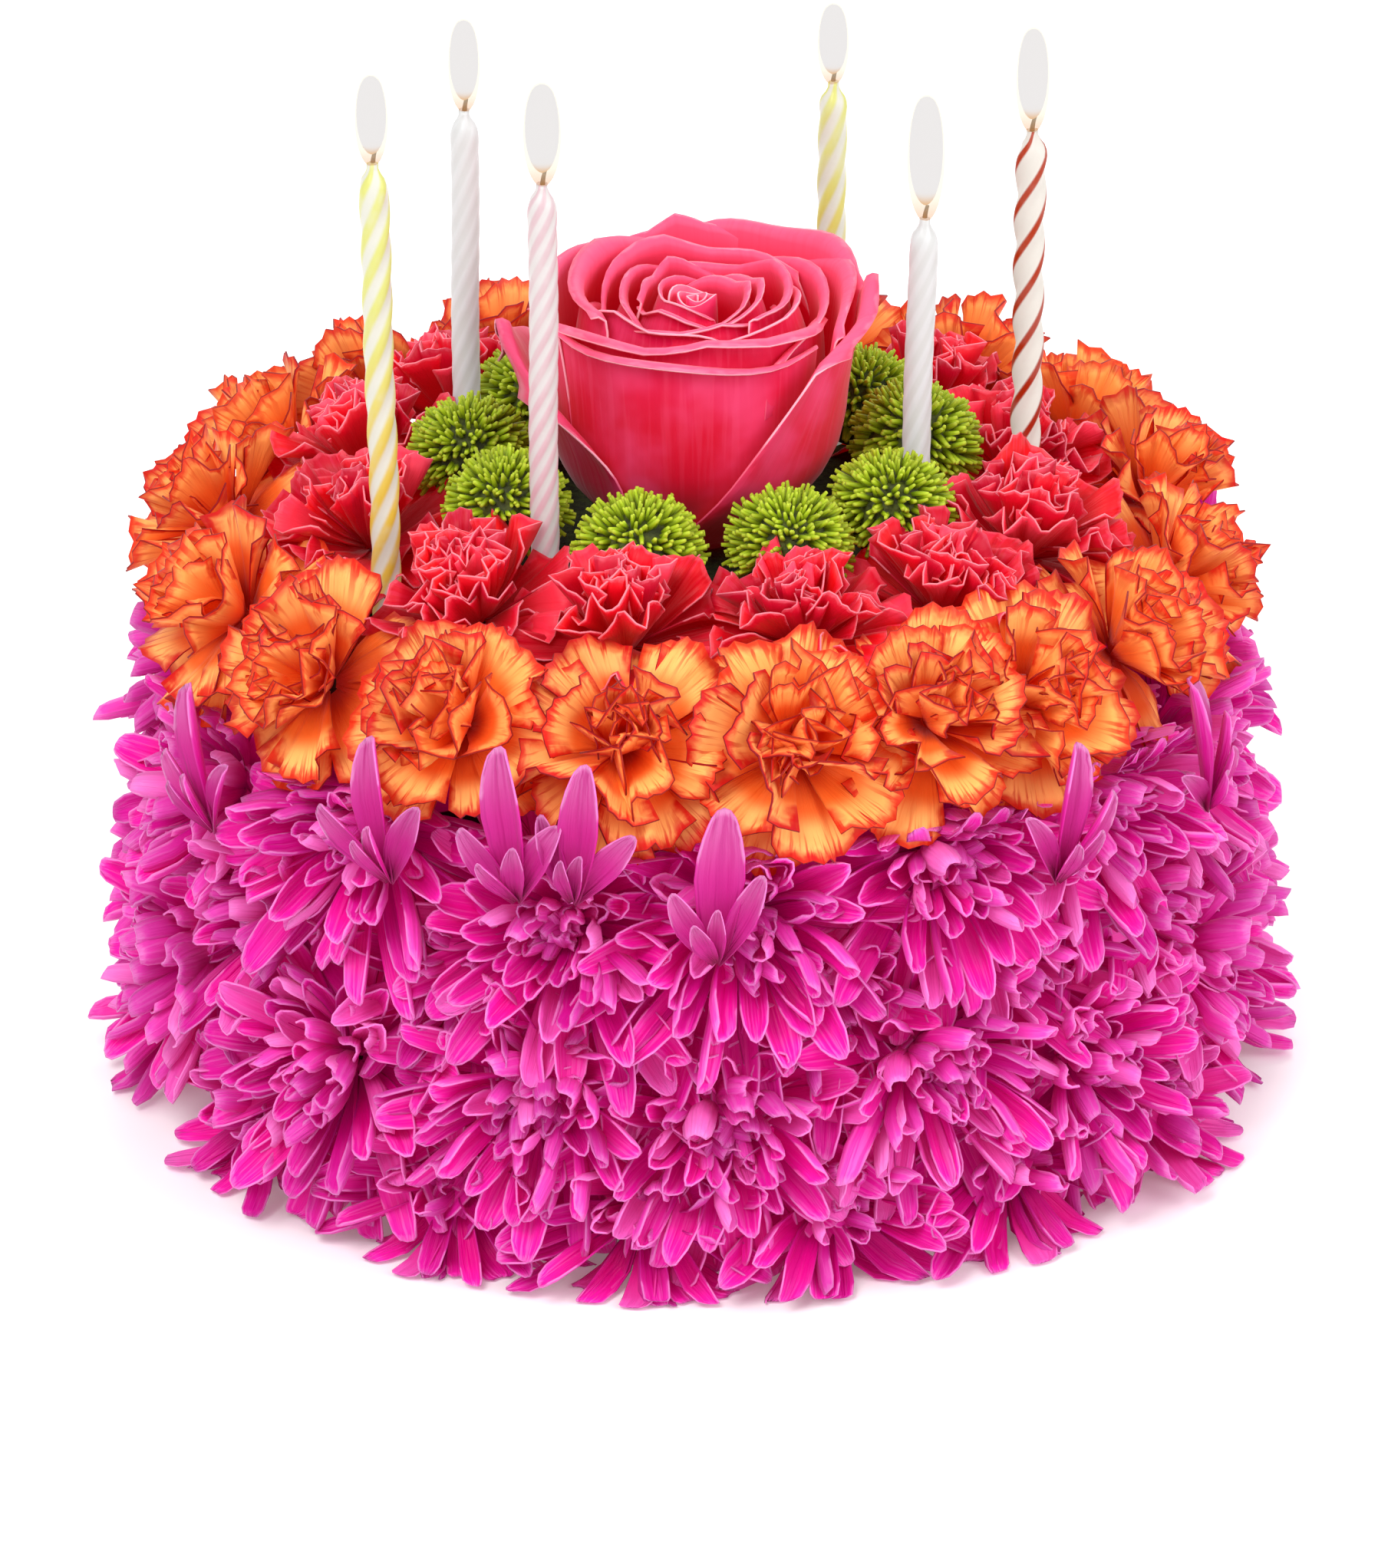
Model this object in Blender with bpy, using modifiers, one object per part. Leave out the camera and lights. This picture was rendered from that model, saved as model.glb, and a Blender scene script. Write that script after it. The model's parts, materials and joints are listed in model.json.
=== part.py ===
"""Cake of fresh flowers with six lit birthday candles.

A turned core carries the blooms: cushion mums in two rows round the side, a shoulder ring of orange
carnations, a ring of pink carnations, a ring of green button poms and one rose in the middle. The
candles stand on the top of the core between the blooms, each with its flame.

Metres, +Z up, origin at the middle of the flat base. Azimuths are in degrees from the front (-Y)
towards +X. Every bloom is a closed solid about its own middle, cut back to flat faces where it meets
the core, a candle or the next bloom.
"""

import math

import bmesh
import bpy
from mathutils import Matrix, Vector

MM = 0.001
GAP = 0.3 * MM
WELD = 0.01 * MM

# How far apart two middles may be and still need a flat face between them.
NEIGHBOUR_REACH = 75.0 * MM
CANDLE_REACH = 40.0 * MM

# Core: upright side, short 45 degree chamfer, flat top.
CORE_RADIUS = 71.5 * MM
CORE_TOP_RADIUS = 67.0 * MM
CORE_TOP = 102.5 * MM
CORE_SIDE_TOP = CORE_TOP - (CORE_RADIUS - CORE_TOP_RADIUS)
CORE_STEPS = 36

# A bloom's share sets how much of the distance to a neighbour it takes, its rings are the angles from
# its axis at which its skin is laid out, and its steps go round the axis.

# Mums: 14 columns of two heads, two neighbouring columns to a spray, the upper row swaying up and down.
MUM_COLUMNS = 14
MUM_COLUMNS_PER_SPRAY = 2
MUM_AZIMUTH = 4.0
MUM_RING = 85.5 * MM
MUM_RADIUS = 30.5 * MM
MUM_FACE = 19.5 * MM
MUM_BACK = 26.0 * MM
MUM_LOW = 31.0 * MM
MUM_LOW_TILT = 94.0
MUM_HIGH = 70.0 * MM
MUM_HIGH_TILT = 84.0
MUM_HIGH_SWAY = 6.0 * MM
MUM_HIGH_SWAY_PHASE = 40.0
MUM_STAGGER = 1.5
MUM_STEPS = 14
MUM_RINGS = (26.0, 54.0, 82.0, 118.0)
MUM_PETAL_RELIEF = 0.10
MUM_SHARE = 29.0
MUM_SPIN_PER_COLUMN = 0.37
MUM_SPIN_PER_ROW = 0.9
MUM_FOOT = 0.6 * MM
MUM_FOOT_STAGGER = 0.2 * MM

# Carnations: azimuths, ring radius, height of the middle, tilt from upright, radius, face and back.
ORANGE_AZIMUTHS = (-7, 11, 28, 42, 60, 82, 104, 124, 144, 164, -176, -155, -137, -119, -96, -71, -49, -28)
ORANGE_RING = 86.5 * MM
ORANGE_HEIGHT = 102.5 * MM
ORANGE_TILT = 50.0
ORANGE_RADIUS = 17.5 * MM
ORANGE_FACE = 11.5 * MM
ORANGE_BACK = 22.0 * MM

PINK_AZIMUTHS = (-10, 17, 46, 77, 107, 137, 166, -164, -134, -104, -74, -39)
PINK_RING = 59.0 * MM
PINK_HEIGHT = 113.0 * MM
PINK_TILT = 14.0
PINK_RADIUS = 17.5 * MM
PINK_FACE = 10.5 * MM
PINK_BACK = 15.0 * MM

CARNATION_STEPS = 12
CARNATION_RINGS = (28.0, 56.0, 84.0, 120.0)
CARNATION_SHARE = 16.0
CARNATION_SPIN = 0.5
FRILL_RELIEF = 0.085
FRILL_PHASE = 1.3

# Green button poms.
POM_AZIMUTHS = (-14, 24, 60, 97, 132, 176, -135, -92, -54)
POM_RING = 40.0 * MM
POM_HEIGHT = 117.5 * MM
POM_TILT = 8.0
POM_RADIUS = 12.8 * MM
POM_FACE = 10.0 * MM
POM_BACK = 18.0 * MM
POM_STEPS = 10
POM_RINGS = (32.0, 62.0, 92.0, 130.0)
POM_SHARE = 12.0
POM_RELIEF = 0.045

# Rose: outline from the middle of its top, over the rim and down to its foot, as (radius, height).
ROSE_HEIGHT = 130.0 * MM
ROSE_OUTLINE = (
    (0.0, 19.5 * MM),
    (13.0 * MM, 20.5 * MM),
    (24.0 * MM, 20.0 * MM),
    (29.0 * MM, 17.5 * MM),
    (29.5 * MM, 10.0 * MM),
    (27.0 * MM, 0.0),
    (23.0 * MM, -11.0 * MM),
    (17.0 * MM, -27.5 * MM),
    (0.0, -27.5 * MM),
)
ROSE_STEPS = 20
ROSE_RINGS = (6.0, 12.0, 18.0, 24.0, 30.0, 36.0, 42.0, 48.0, 56.0, 68.0, 90.0, 116.0, 148.0)
ROSE_SHARE = 27.0
ROSE_RIM_RISE = 3.5 * MM
ROSE_RIM_EDGE = 75.0
ROSE_OUTER_PETALS = 5
ROSE_OUTER_PETAL_PHASE = 0.6
ROSE_OUTER_PETAL_RELIEF = 0.05
ROSE_OUTER_PETAL_START = 30.0
ROSE_OUTER_PETAL_END = 120.0
ROSE_SPIRAL_RELIEF = 0.055
ROSE_SPIRAL_RINGS_PER_TURN = 3.0
ROSE_SPIRAL_FULL = 20.0
ROSE_SPIRAL_EDGE = 54.0

# Candles: name, x, y and height of the wax, sideways lean to its top, flame height and radius.
CANDLE_RADIUS = 2.55 * MM
CANDLE_GROOVE = 2.10 * MM
CANDLE_RIBS = 3
CANDLE_TWIST_PITCH = 30.0 * MM
CANDLE_CHAMFER = 0.8 * MM
WICK_RADIUS = 0.45 * MM
WICK_SHOULDER = 2.2
WICK_TIP = 0.8
WICK_LENGTH = 3.2 * MM
FLAME_STEPS = 6
FLAME_ROWS = 5
CANDLES = (
    ("yellow_left", -53.6 * MM, -34.3 * MM, 185.4 * MM, -1.3 * MM, 14.1 * MM, 2.6 * MM),
    ("white_left", -41.1 * MM, 20.5 * MM, 173.8 * MM, 0.4 * MM, 15.0 * MM, 2.6 * MM),
    ("pink_left", -26.2 * MM, -33.2 * MM, 181.3 * MM, 0.2 * MM, 16.3 * MM, 3.0 * MM),
    ("yellow_right", 24.8 * MM, 42.0 * MM, 170.7 * MM, 0.0, 13.0 * MM, 2.6 * MM),
    ("white_right", 38.7 * MM, -7.0 * MM, 164.2 * MM, 1.4 * MM, 21.0 * MM, 3.0 * MM),
    ("red_right", 58.7 * MM, 0.5 * MM, 177.8 * MM, 0.1 * MM, 17.0 * MM, 2.7 * MM),
)

COLOURS = {
    "foam": (0.05, 0.13, 0.03),
    "mum_petal": (0.56, 0.01, 0.28),
    "orange_petal": (0.90, 0.32, 0.06),
    "pink_petal": (0.62, 0.01, 0.07),
    "pom_floret": (0.40, 0.55, 0.02),
    "rose_petal": (0.80, 0.03, 0.13),
    "yellow_wax": (0.95, 0.88, 0.40),
    "white_wax": (0.90, 0.89, 0.86),
    "pink_wax": (0.93, 0.70, 0.70),
    "red_wax": (0.85, 0.35, 0.28),
    "flame": (1.00, 0.85, 0.55),
}


def clear_scene():
    """Remove everything the file started with."""
    for obj in list(bpy.data.objects):
        bpy.data.objects.remove(obj, do_unlink=True)


def make_collection(name):
    """Return a new collection linked to the scene."""
    collection = bpy.data.collections.new(name)
    bpy.context.scene.collection.children.link(collection)
    return collection


def make_material(slot):
    """Return the Principled material of one slot."""
    material = bpy.data.materials.new(slot)
    material.use_nodes = True
    shader = material.node_tree.nodes["Principled BSDF"]
    shader.inputs["Base Color"].default_value = (*COLOURS[slot], 1.0)
    shader.inputs["Roughness"].default_value = 0.35 if slot.endswith("wax") else 0.6
    if slot == "flame":
        shader.inputs["Emission Color"].default_value = (*COLOURS[slot], 1.0)
        shader.inputs["Emission Strength"].default_value = 4.0
    return material


def add_object(bm, name, slot, collection, smooth=True):
    """Turn a bmesh into a named object with the slot's own material."""
    bmesh.ops.recalc_face_normals(bm, faces=bm.faces)
    for face in bm.faces:
        face.smooth = smooth
    mesh = bpy.data.meshes.new(name)
    bm.to_mesh(mesh)
    bm.free()
    obj = bpy.data.objects.new(name, mesh)
    obj.data.materials.append(make_material(slot))
    collection.objects.link(obj)
    return obj


def polar(azimuth, radius, height):
    """Point at an azimuth in degrees, a radius and a height."""
    turn = math.radians(azimuth)
    return Vector((radius * math.sin(turn), -radius * math.cos(turn), height))


def lean_axis(azimuth, tilt):
    """Unit vector leaning outwards by tilt degrees from upright."""
    return polar(azimuth, math.sin(math.radians(tilt)), math.cos(math.radians(tilt)))


def oval_reach(theta, radius, face, back):
    """Distance from the middle of a flattened dome to its skin, theta from the bloom's axis."""
    depth = face if theta < math.pi / 2 else back
    return 1.0 / math.hypot(math.sin(theta) / radius, math.cos(theta) / depth)


class Bloom:
    """One bloom: a middle, an axis, a skin given by its reach, and the flat faces that bound it."""

    def __init__(self, name, slot, middle, axis, reach, share, segments, rings, spin=0.0):
        self.name = name
        self.slot = slot
        self.middle = middle
        self.axis = axis.normalized()
        self.reach = reach
        self.share = share
        self.segments = segments
        self.rings = rings
        self.spin = spin
        self.planes = []

    def keep_below(self, point, normal):
        """Keep the bloom on the side of a plane that its normal points away from."""
        self.planes.append((point, normal.normalized()))

    def frame(self):
        """Matrix whose Z is the bloom's axis, turned about it by the bloom's spin."""
        side = Vector((0, 0, 1)).cross(self.axis)
        side = side.normalized() if side.length > 1e-6 else Vector((1, 0, 0))
        upright = Matrix((side, self.axis.cross(side), self.axis)).transposed()
        return upright @ Matrix.Rotation(self.spin, 3, "Z")

    def limit(self, direction):
        """Distance from the middle to the nearest bounding plane along a direction."""
        nearest = math.inf
        for point, normal in self.planes:
            closing = normal.dot(direction)
            if closing > 1e-6:
                nearest = min(nearest, normal.dot(point - self.middle) / closing)
        return nearest

    def mesh(self):
        """Closed skin of the bloom as a bmesh."""
        bm = bmesh.new()
        rows = len(self.rings) + 1
        bmesh.ops.create_uvsphere(bm, u_segments=self.segments, v_segments=rows, radius=1.0)
        frame = self.frame()
        angles = (0.0, *(math.radians(ring) for ring in self.rings), math.pi)
        for vert in bm.verts:
            row = round(math.acos(max(-1.0, min(1.0, vert.co.z))) / math.pi * rows)
            turn = math.atan2(vert.co.y, vert.co.x)
            step = round(turn / math.tau * self.segments) % self.segments
            theta = angles[row]
            local = Vector((math.sin(theta) * math.cos(turn), math.sin(theta) * math.sin(turn), math.cos(theta)))
            direction = frame @ local
            length = self.reach(theta, turn, row, step)
            vert.co = self.middle + direction * min(length, self.limit(direction))
        bmesh.ops.triangulate(bm, faces=bm.faces[:])
        return bm


def part_blooms(first, second):
    """Bound two blooms by the plane that shares the distance between their middles."""
    across = second.middle - first.middle
    split = first.middle + across * (first.share / (first.share + second.share))
    normal = across.normalized()
    first.keep_below(split - normal * GAP / 2, normal)
    second.keep_below(split + normal * GAP / 2, -normal)


def mum_reach(theta, turn, row, step):
    """Cushion of petals whose tips alternate from row to row."""
    tip = 1.0 if (row + step) % 2 == 0 else -1.0
    weight = math.sin(theta) ** 0.5 if 0.0 < theta < math.pi else 0.0
    return oval_reach(theta, MUM_RADIUS, MUM_FACE, MUM_BACK) * (1.0 + MUM_PETAL_RELIEF * tip * weight)


def frill_reach(radius, face, back, phase):
    """Crumpled dome: ruffles that shift from row to row, deeper on some sides than on others."""

    def reach(theta, turn, row, step):
        ruffle = 1.0 if (row + step) % 2 == 0 else -1.0
        depth = 0.75 + 0.25 * math.sin(2.0 * turn + phase)
        crumple = 0.45 * math.sin(3.0 * turn - 1.7 * row + 2.0 * phase)
        weight = math.sin(theta) ** 0.5 if 0.0 < theta < math.pi else 0.0
        relief = FRILL_RELIEF * weight * (ruffle * depth + crumple)
        return oval_reach(theta, radius, face, back) * (1.0 + relief)

    return reach


def pom_reach(theta, turn, row, step):
    """Round button with a knobbly skin."""
    knob = 1.0 if (row + step) % 2 == 0 else -1.0
    weight = 1.0 if 0.0 < theta < math.pi else 0.0
    return oval_reach(theta, POM_RADIUS, POM_FACE, POM_BACK) * (1.0 + POM_RELIEF * knob * weight)


def rose_reach(theta, turn, row, step):
    """Goblet of petals: the outline bent into five outer petals with a spiral pressed into its top."""
    direction = Vector((math.sin(theta), math.cos(theta)))
    length = 0.0
    for (r0, z0), (r1, z1) in zip(ROSE_OUTLINE, ROSE_OUTLINE[1:]):
        # Where the ray from the middle crosses this stretch of the outline.
        span = Vector((r1 - r0, z1 - z0))
        cross = direction.x * span.y - direction.y * span.x
        if abs(cross) < 1e-12:
            continue
        along = (r0 * span.y - z0 * span.x) / cross
        share = (r0 * direction.y - z0 * direction.x) / cross
        if along > 0.0 and -1e-6 <= share <= 1.0 + 1e-6:
            length = along
            break
    degrees = math.degrees(theta)
    if 0.0 < degrees < ROSE_SPIRAL_EDGE:
        phase = math.tau * row / ROSE_SPIRAL_RINGS_PER_TURN - turn
        length *= 1.0 + ROSE_SPIRAL_RELIEF * math.cos(phase) * min(1.0, degrees / ROSE_SPIRAL_FULL)
    if ROSE_OUTER_PETAL_START < degrees < ROSE_OUTER_PETAL_END:
        petal = math.cos(ROSE_OUTER_PETALS * turn + ROSE_OUTER_PETAL_PHASE)
        swell = math.sin(math.radians((degrees - ROSE_OUTER_PETAL_START) * 2.0))
        length *= 1.0 + ROSE_OUTER_PETAL_RELIEF * petal * swell
    if 0.0 < degrees < ROSE_RIM_EDGE:
        # The petals at the back stand higher than those at the front.
        length += ROSE_RIM_RISE * math.sin(turn) * math.sin(theta)
    return length


def build_core(collection):
    """Turn the core from its outline."""
    bm = bmesh.new()
    outline = (
        (0.0, CORE_TOP),
        (CORE_TOP_RADIUS, CORE_TOP),
        (CORE_RADIUS, CORE_SIDE_TOP),
        (CORE_RADIUS, 0.0),
        (0.0, 0.0),
    )
    verts = [bm.verts.new((radius, 0.0, height)) for radius, height in outline]
    for lower, upper in zip(verts, verts[1:]):
        bm.edges.new((lower, upper))
    mesh = bpy.data.meshes.new("core")
    bm.to_mesh(mesh)
    bm.free()
    core = bpy.data.objects.new("core", mesh)
    core.data.materials.append(make_material("foam"))
    collection.objects.link(core)
    turn = core.modifiers.new("turn", "SCREW")
    turn.steps = CORE_STEPS
    turn.render_steps = CORE_STEPS
    turn.use_merge_vertices = True
    turn.merge_threshold = 0.00001
    turn.use_smooth_shade = False
    return core


def candle_axis(candle):
    """Foot and top of a candle's axis."""
    _, x, y, top, lean, _, _ = candle
    return Vector((x, y, CORE_TOP + GAP)), Vector((x + lean, y, top))


def build_candle(candle, slot, collection):
    """Twisted wax stick with a chamfered top and its wick."""
    name = candle[0]
    foot, top = candle_axis(candle)
    length = (top - foot).length
    sides = CANDLE_RIBS * 2
    pitch = CANDLE_TWIST_PITCH / sides
    count = int(length / pitch)
    rows = [(length * index / count, None) for index in range(count)]
    rows += [
        (length - CANDLE_CHAMFER * 0.5, CANDLE_GROOVE),
        (length, WICK_RADIUS * WICK_SHOULDER),
        (length + 0.1 * MM, WICK_RADIUS),
        (length + WICK_LENGTH, WICK_RADIUS * WICK_TIP),
    ]
    bm = bmesh.new()
    bmesh.ops.create_cone(
        bm, cap_ends=True, segments=sides, radius1=1.0, radius2=1.0, depth=float(len(rows) - 1)
    )
    bmesh.ops.translate(bm, verts=bm.verts, vec=(0.0, 0.0, (len(rows) - 1) / 2.0))
    for index in range(1, len(rows) - 1):
        bmesh.ops.bisect_plane(
            bm,
            geom=bm.verts[:] + bm.edges[:] + bm.faces[:],
            plane_co=(0.0, 0.0, float(index)),
            plane_no=(0.0, 0.0, 1.0),
        )
    tilt = Vector((0, 0, 1)).rotation_difference(top - foot).to_matrix()
    for vert in bm.verts:
        row = round(vert.co.z)
        step = math.floor(math.atan2(vert.co.y, vert.co.x) / math.tau * sides) % sides
        height, radius = rows[row]
        if radius is None:
            radius = CANDLE_RADIUS if (step - row) % 2 == 0 else CANDLE_GROOVE
        turn = math.tau * step / sides
        local = Vector((radius * math.cos(turn), radius * math.sin(turn), height))
        vert.co = foot + tilt @ local
    return add_object(bm, f"candle_{name}", slot, collection)


def build_flame(candle, collection):
    """Teardrop standing just above the wick."""
    name, _, _, _, _, height, radius = candle
    foot, top = candle_axis(candle)
    up = (top - foot).normalized()
    start = top + up * (WICK_LENGTH + GAP)
    bm = bmesh.new()
    bmesh.ops.create_uvsphere(bm, u_segments=FLAME_STEPS, v_segments=FLAME_ROWS, radius=1.0)
    for vert in bm.verts:
        share = (vert.co.z + 1.0) / 2.0
        spread = math.hypot(vert.co.x, vert.co.y)
        width = radius * spread * (1.12 - 0.45 * share)
        side = Vector((vert.co.x, vert.co.y, 0.0))
        side = side.normalized() * width if spread > 1e-6 else Vector()
        vert.co = start + side + Vector((0.0, 0.0, height * share ** 1.15))
    return add_object(bm, f"flame_{name}", "flame", collection)


def mum_heads():
    """All mum heads, each with the number of its spray."""
    heads = []
    for column in range(MUM_COLUMNS):
        azimuth = MUM_AZIMUTH + 360.0 * column / MUM_COLUMNS
        spray = column // MUM_COLUMNS_PER_SPRAY
        sway = MUM_HIGH_SWAY * math.sin(math.radians(2.0 * azimuth + MUM_HIGH_SWAY_PHASE))
        rows = ((MUM_LOW, MUM_LOW_TILT, -MUM_STAGGER), (MUM_HIGH + sway, MUM_HIGH_TILT, MUM_STAGGER))
        for row, (height, tilt, step) in enumerate(rows):
            head = Bloom(
                f"mum_{column}_{row}", "mum_petal", polar(azimuth + step, MUM_RING, height),
                lean_axis(azimuth + step, tilt), mum_reach, MUM_SHARE, MUM_STEPS, MUM_RINGS,
                MUM_SPIN_PER_COLUMN * column + MUM_SPIN_PER_ROW * row,
            )
            outwards = polar(azimuth + step, 1.0, 0.0)
            head.keep_below(outwards * (CORE_RADIUS + GAP * (1 + row)), -outwards)
            foot = MUM_FOOT + MUM_FOOT_STAGGER * (column % 2)
            head.keep_below(Vector((0.0, 0.0, foot)), Vector((0, 0, -1)))
            heads.append((spray, head))
    return heads


def ring_of_carnations(name, slot, azimuths, ring, height, tilt, radius, face, back):
    """Carnations round one ring, each turned and crumpled a little differently."""
    blooms = []
    for index, azimuth in enumerate(azimuths):
        blooms.append(
            Bloom(
                f"{name}_{index + 1:02d}", slot, polar(azimuth, ring, height), lean_axis(azimuth, tilt),
                frill_reach(radius, face, back, FRILL_PHASE * index), CARNATION_SHARE, CARNATION_STEPS,
                CARNATION_RINGS, CARNATION_SPIN * index,
            )
        )
    return blooms


def ring_of_poms():
    """Green button poms round the rose."""
    return [
        Bloom(
            f"pom_{index + 1}", "pom_floret", polar(azimuth, POM_RING, POM_HEIGHT),
            lean_axis(azimuth, POM_TILT), pom_reach, POM_SHARE, POM_STEPS, POM_RINGS,
        )
        for index, azimuth in enumerate(POM_AZIMUTHS)
    ]


def seat_on_core(orange, upright):
    """Give the orange carnations a flat face on the core's chamfer and the rest one on its top."""
    chamfer_foot = CORE_SIDE_TOP + CORE_RADIUS
    for bloom in orange:
        outwards = Vector((bloom.middle.x, bloom.middle.y, 0.0)).normalized()
        slope = (outwards + Vector((0, 0, 1))).normalized()
        seat = outwards * (chamfer_foot / 2.0) + Vector((0, 0, chamfer_foot / 2.0)) + slope * GAP
        bloom.keep_below(seat, -slope)
    for bloom in upright:
        bloom.keep_below(Vector((0.0, 0.0, CORE_TOP + GAP)), Vector((0, 0, -1)))


def part_neighbours(blooms):
    """Part all blooms that come close, but let the heads of one spray grow into each other."""
    for index, (spray, first) in enumerate(blooms):
        for other, second in blooms[index + 1:]:
            if spray is not None and spray == other:
                continue
            if (second.middle - first.middle).length < NEIGHBOUR_REACH:
                part_blooms(first, second)


def clear_candles(blooms):
    """Cut the blooms beside each candle back to a flat face along its wax."""
    for candle in CANDLES:
        foot, top = candle_axis(candle)
        along = (top - foot).normalized()
        for _, bloom in blooms:
            nearest = foot + along * along.dot(bloom.middle - foot)
            away = nearest - bloom.middle
            if away.length < CANDLE_REACH:
                normal = away.normalized()
                bloom.keep_below(nearest - normal * (CANDLE_RADIUS + GAP), normal)


def fill_pockets(bm):
    """Drop the skins of pockets shut in between heads, which leaves those places solid."""
    left = set(bm.verts)
    skins = []
    while left:
        skin = set()
        front = [left.pop()]
        while front:
            vert = front.pop()
            skin.add(vert)
            for edge in vert.link_edges:
                other = edge.other_vert(vert)
                if other in left:
                    left.discard(other)
                    front.append(other)
        skins.append(skin)
    skins.sort(key=len)
    for skin in skins[:-1]:
        bmesh.ops.delete(bm, geom=list(skin), context="VERTS")


def build_sprays(sprays, collection):
    """Grow the heads of each spray into one solid."""
    for number in range(MUM_COLUMNS // MUM_COLUMNS_PER_SPRAY):
        heads = [
            add_object(head.mesh(), head.name, head.slot, collection)
            for spray, head in sprays
            if spray == number
        ]
        whole = heads[0]
        for head in heads[1:]:
            join = whole.modifiers.new("join", "BOOLEAN")
            join.operation = "UNION"
            join.solver = "EXACT"
            join.object = head
            bpy.context.view_layer.objects.active = whole
            bpy.ops.object.modifier_apply(modifier=join.name)
            bpy.data.objects.remove(head, do_unlink=True)
        bm = bmesh.new()
        bm.from_mesh(whole.data)
        bmesh.ops.remove_doubles(bm, verts=bm.verts, dist=WELD)
        bmesh.ops.dissolve_degenerate(bm, edges=bm.edges, dist=WELD)
        fill_pockets(bm)
        bm.to_mesh(whole.data)
        bm.free()
        whole.name = f"mum_spray_{number + 1}"
        whole.data.name = whole.name


def build():
    """Build the whole object."""
    clear_scene()
    collection = make_collection("flower_cake")
    build_core(collection)

    sprays = mum_heads()
    orange = ring_of_carnations(
        "orange_carnation", "orange_petal", ORANGE_AZIMUTHS, ORANGE_RING, ORANGE_HEIGHT, ORANGE_TILT,
        ORANGE_RADIUS, ORANGE_FACE, ORANGE_BACK,
    )
    pink = ring_of_carnations(
        "pink_carnation", "pink_petal", PINK_AZIMUTHS, PINK_RING, PINK_HEIGHT, PINK_TILT,
        PINK_RADIUS, PINK_FACE, PINK_BACK,
    )
    poms = ring_of_poms()
    rose = Bloom(
        "rose", "rose_petal", Vector((0.0, 0.0, ROSE_HEIGHT)), Vector((0, 0, 1)), rose_reach, ROSE_SHARE,
        ROSE_STEPS, ROSE_RINGS,
    )
    singles = (*orange, *pink, *poms, rose)
    blooms = [*sprays, *((None, bloom) for bloom in singles)]

    seat_on_core(orange, (*pink, *poms, rose))
    part_neighbours(blooms)
    clear_candles(blooms)

    for bloom in singles:
        add_object(bloom.mesh(), bloom.name, bloom.slot, collection)
    build_sprays(sprays, collection)
    for candle in CANDLES:
        colour = candle[0].split("_")[0]
        build_candle(candle, f"{colour}_wax", collection)
        build_flame(candle, collection)


build()
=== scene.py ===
"""Dress the cake of fresh flowers: petals, florets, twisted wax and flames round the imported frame.

Every bloom is grown in its own upright frame, with its face towards +Z, and is then set on the cake.
Azimuths are in degrees from the front (-Y) towards +X, lengths are in metres.
"""

from __future__ import annotations

import json
import logging
import math
import random
from abc import ABC, abstractmethod
from collections.abc import Callable, Sequence
from dataclasses import dataclass
from enum import IntEnum

import bpy
import numpy as np
from mathutils import Matrix, Vector

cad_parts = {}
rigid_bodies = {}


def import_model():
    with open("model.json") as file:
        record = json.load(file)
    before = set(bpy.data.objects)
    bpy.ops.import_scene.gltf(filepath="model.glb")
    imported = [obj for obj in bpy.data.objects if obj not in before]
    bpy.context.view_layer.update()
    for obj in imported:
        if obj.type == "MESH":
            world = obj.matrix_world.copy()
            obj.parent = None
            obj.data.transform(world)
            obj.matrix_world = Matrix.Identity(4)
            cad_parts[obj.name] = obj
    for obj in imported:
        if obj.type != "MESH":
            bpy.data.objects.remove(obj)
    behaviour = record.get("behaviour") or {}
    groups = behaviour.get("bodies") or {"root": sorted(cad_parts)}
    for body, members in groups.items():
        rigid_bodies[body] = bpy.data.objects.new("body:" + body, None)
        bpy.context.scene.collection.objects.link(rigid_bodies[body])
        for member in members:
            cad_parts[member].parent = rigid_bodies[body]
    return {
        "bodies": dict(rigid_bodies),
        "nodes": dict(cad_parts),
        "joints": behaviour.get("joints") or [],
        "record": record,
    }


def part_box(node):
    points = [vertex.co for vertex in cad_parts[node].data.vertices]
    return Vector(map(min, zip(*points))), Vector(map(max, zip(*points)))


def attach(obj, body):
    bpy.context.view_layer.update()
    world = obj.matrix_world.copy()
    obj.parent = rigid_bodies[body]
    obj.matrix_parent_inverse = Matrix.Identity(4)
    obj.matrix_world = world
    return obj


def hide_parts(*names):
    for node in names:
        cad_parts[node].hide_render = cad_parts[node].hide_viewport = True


LOG = logging.getLogger("flower_cake")
MM = 0.001
BODY = "root"
UP = Vector((0.0, 0.0, 1.0))
GOLDEN_ANGLE = math.pi * (3.0 - math.sqrt(5.0))
PETAL_UV = "UVMap"
TONE = "tone"

Colour = tuple[float, float, float]
SheetShape = Callable[[float, float], Vector]


def srgb(red: int, green: int, blue: int) -> Colour:
    """Turn an 8-bit screen colour into linear light.

    Args:
        red: Red from 0 to 255.
        green: Green from 0 to 255.
        blue: Blue from 0 to 255.

    Returns:
        The linear colour.
    """
    parts = (value / 255.0 for value in (red, green, blue))
    linear = [part / 12.92 if part <= 0.04045 else ((part + 0.055) / 1.055) ** 2.4 for part in parts]
    return (linear[0], linear[1], linear[2])


def blend_stops(share: float, stops: Sequence[tuple[float, float]]) -> float:
    """Read a value off straight stretches between stops.

    Args:
        share: Where to read, usually from 0 to 1.
        stops: Pairs of place and value, in order.

    Returns:
        The value at that place.
    """
    return float(np.interp(share, [place for place, _ in stops], [value for _, value in stops]))


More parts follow.
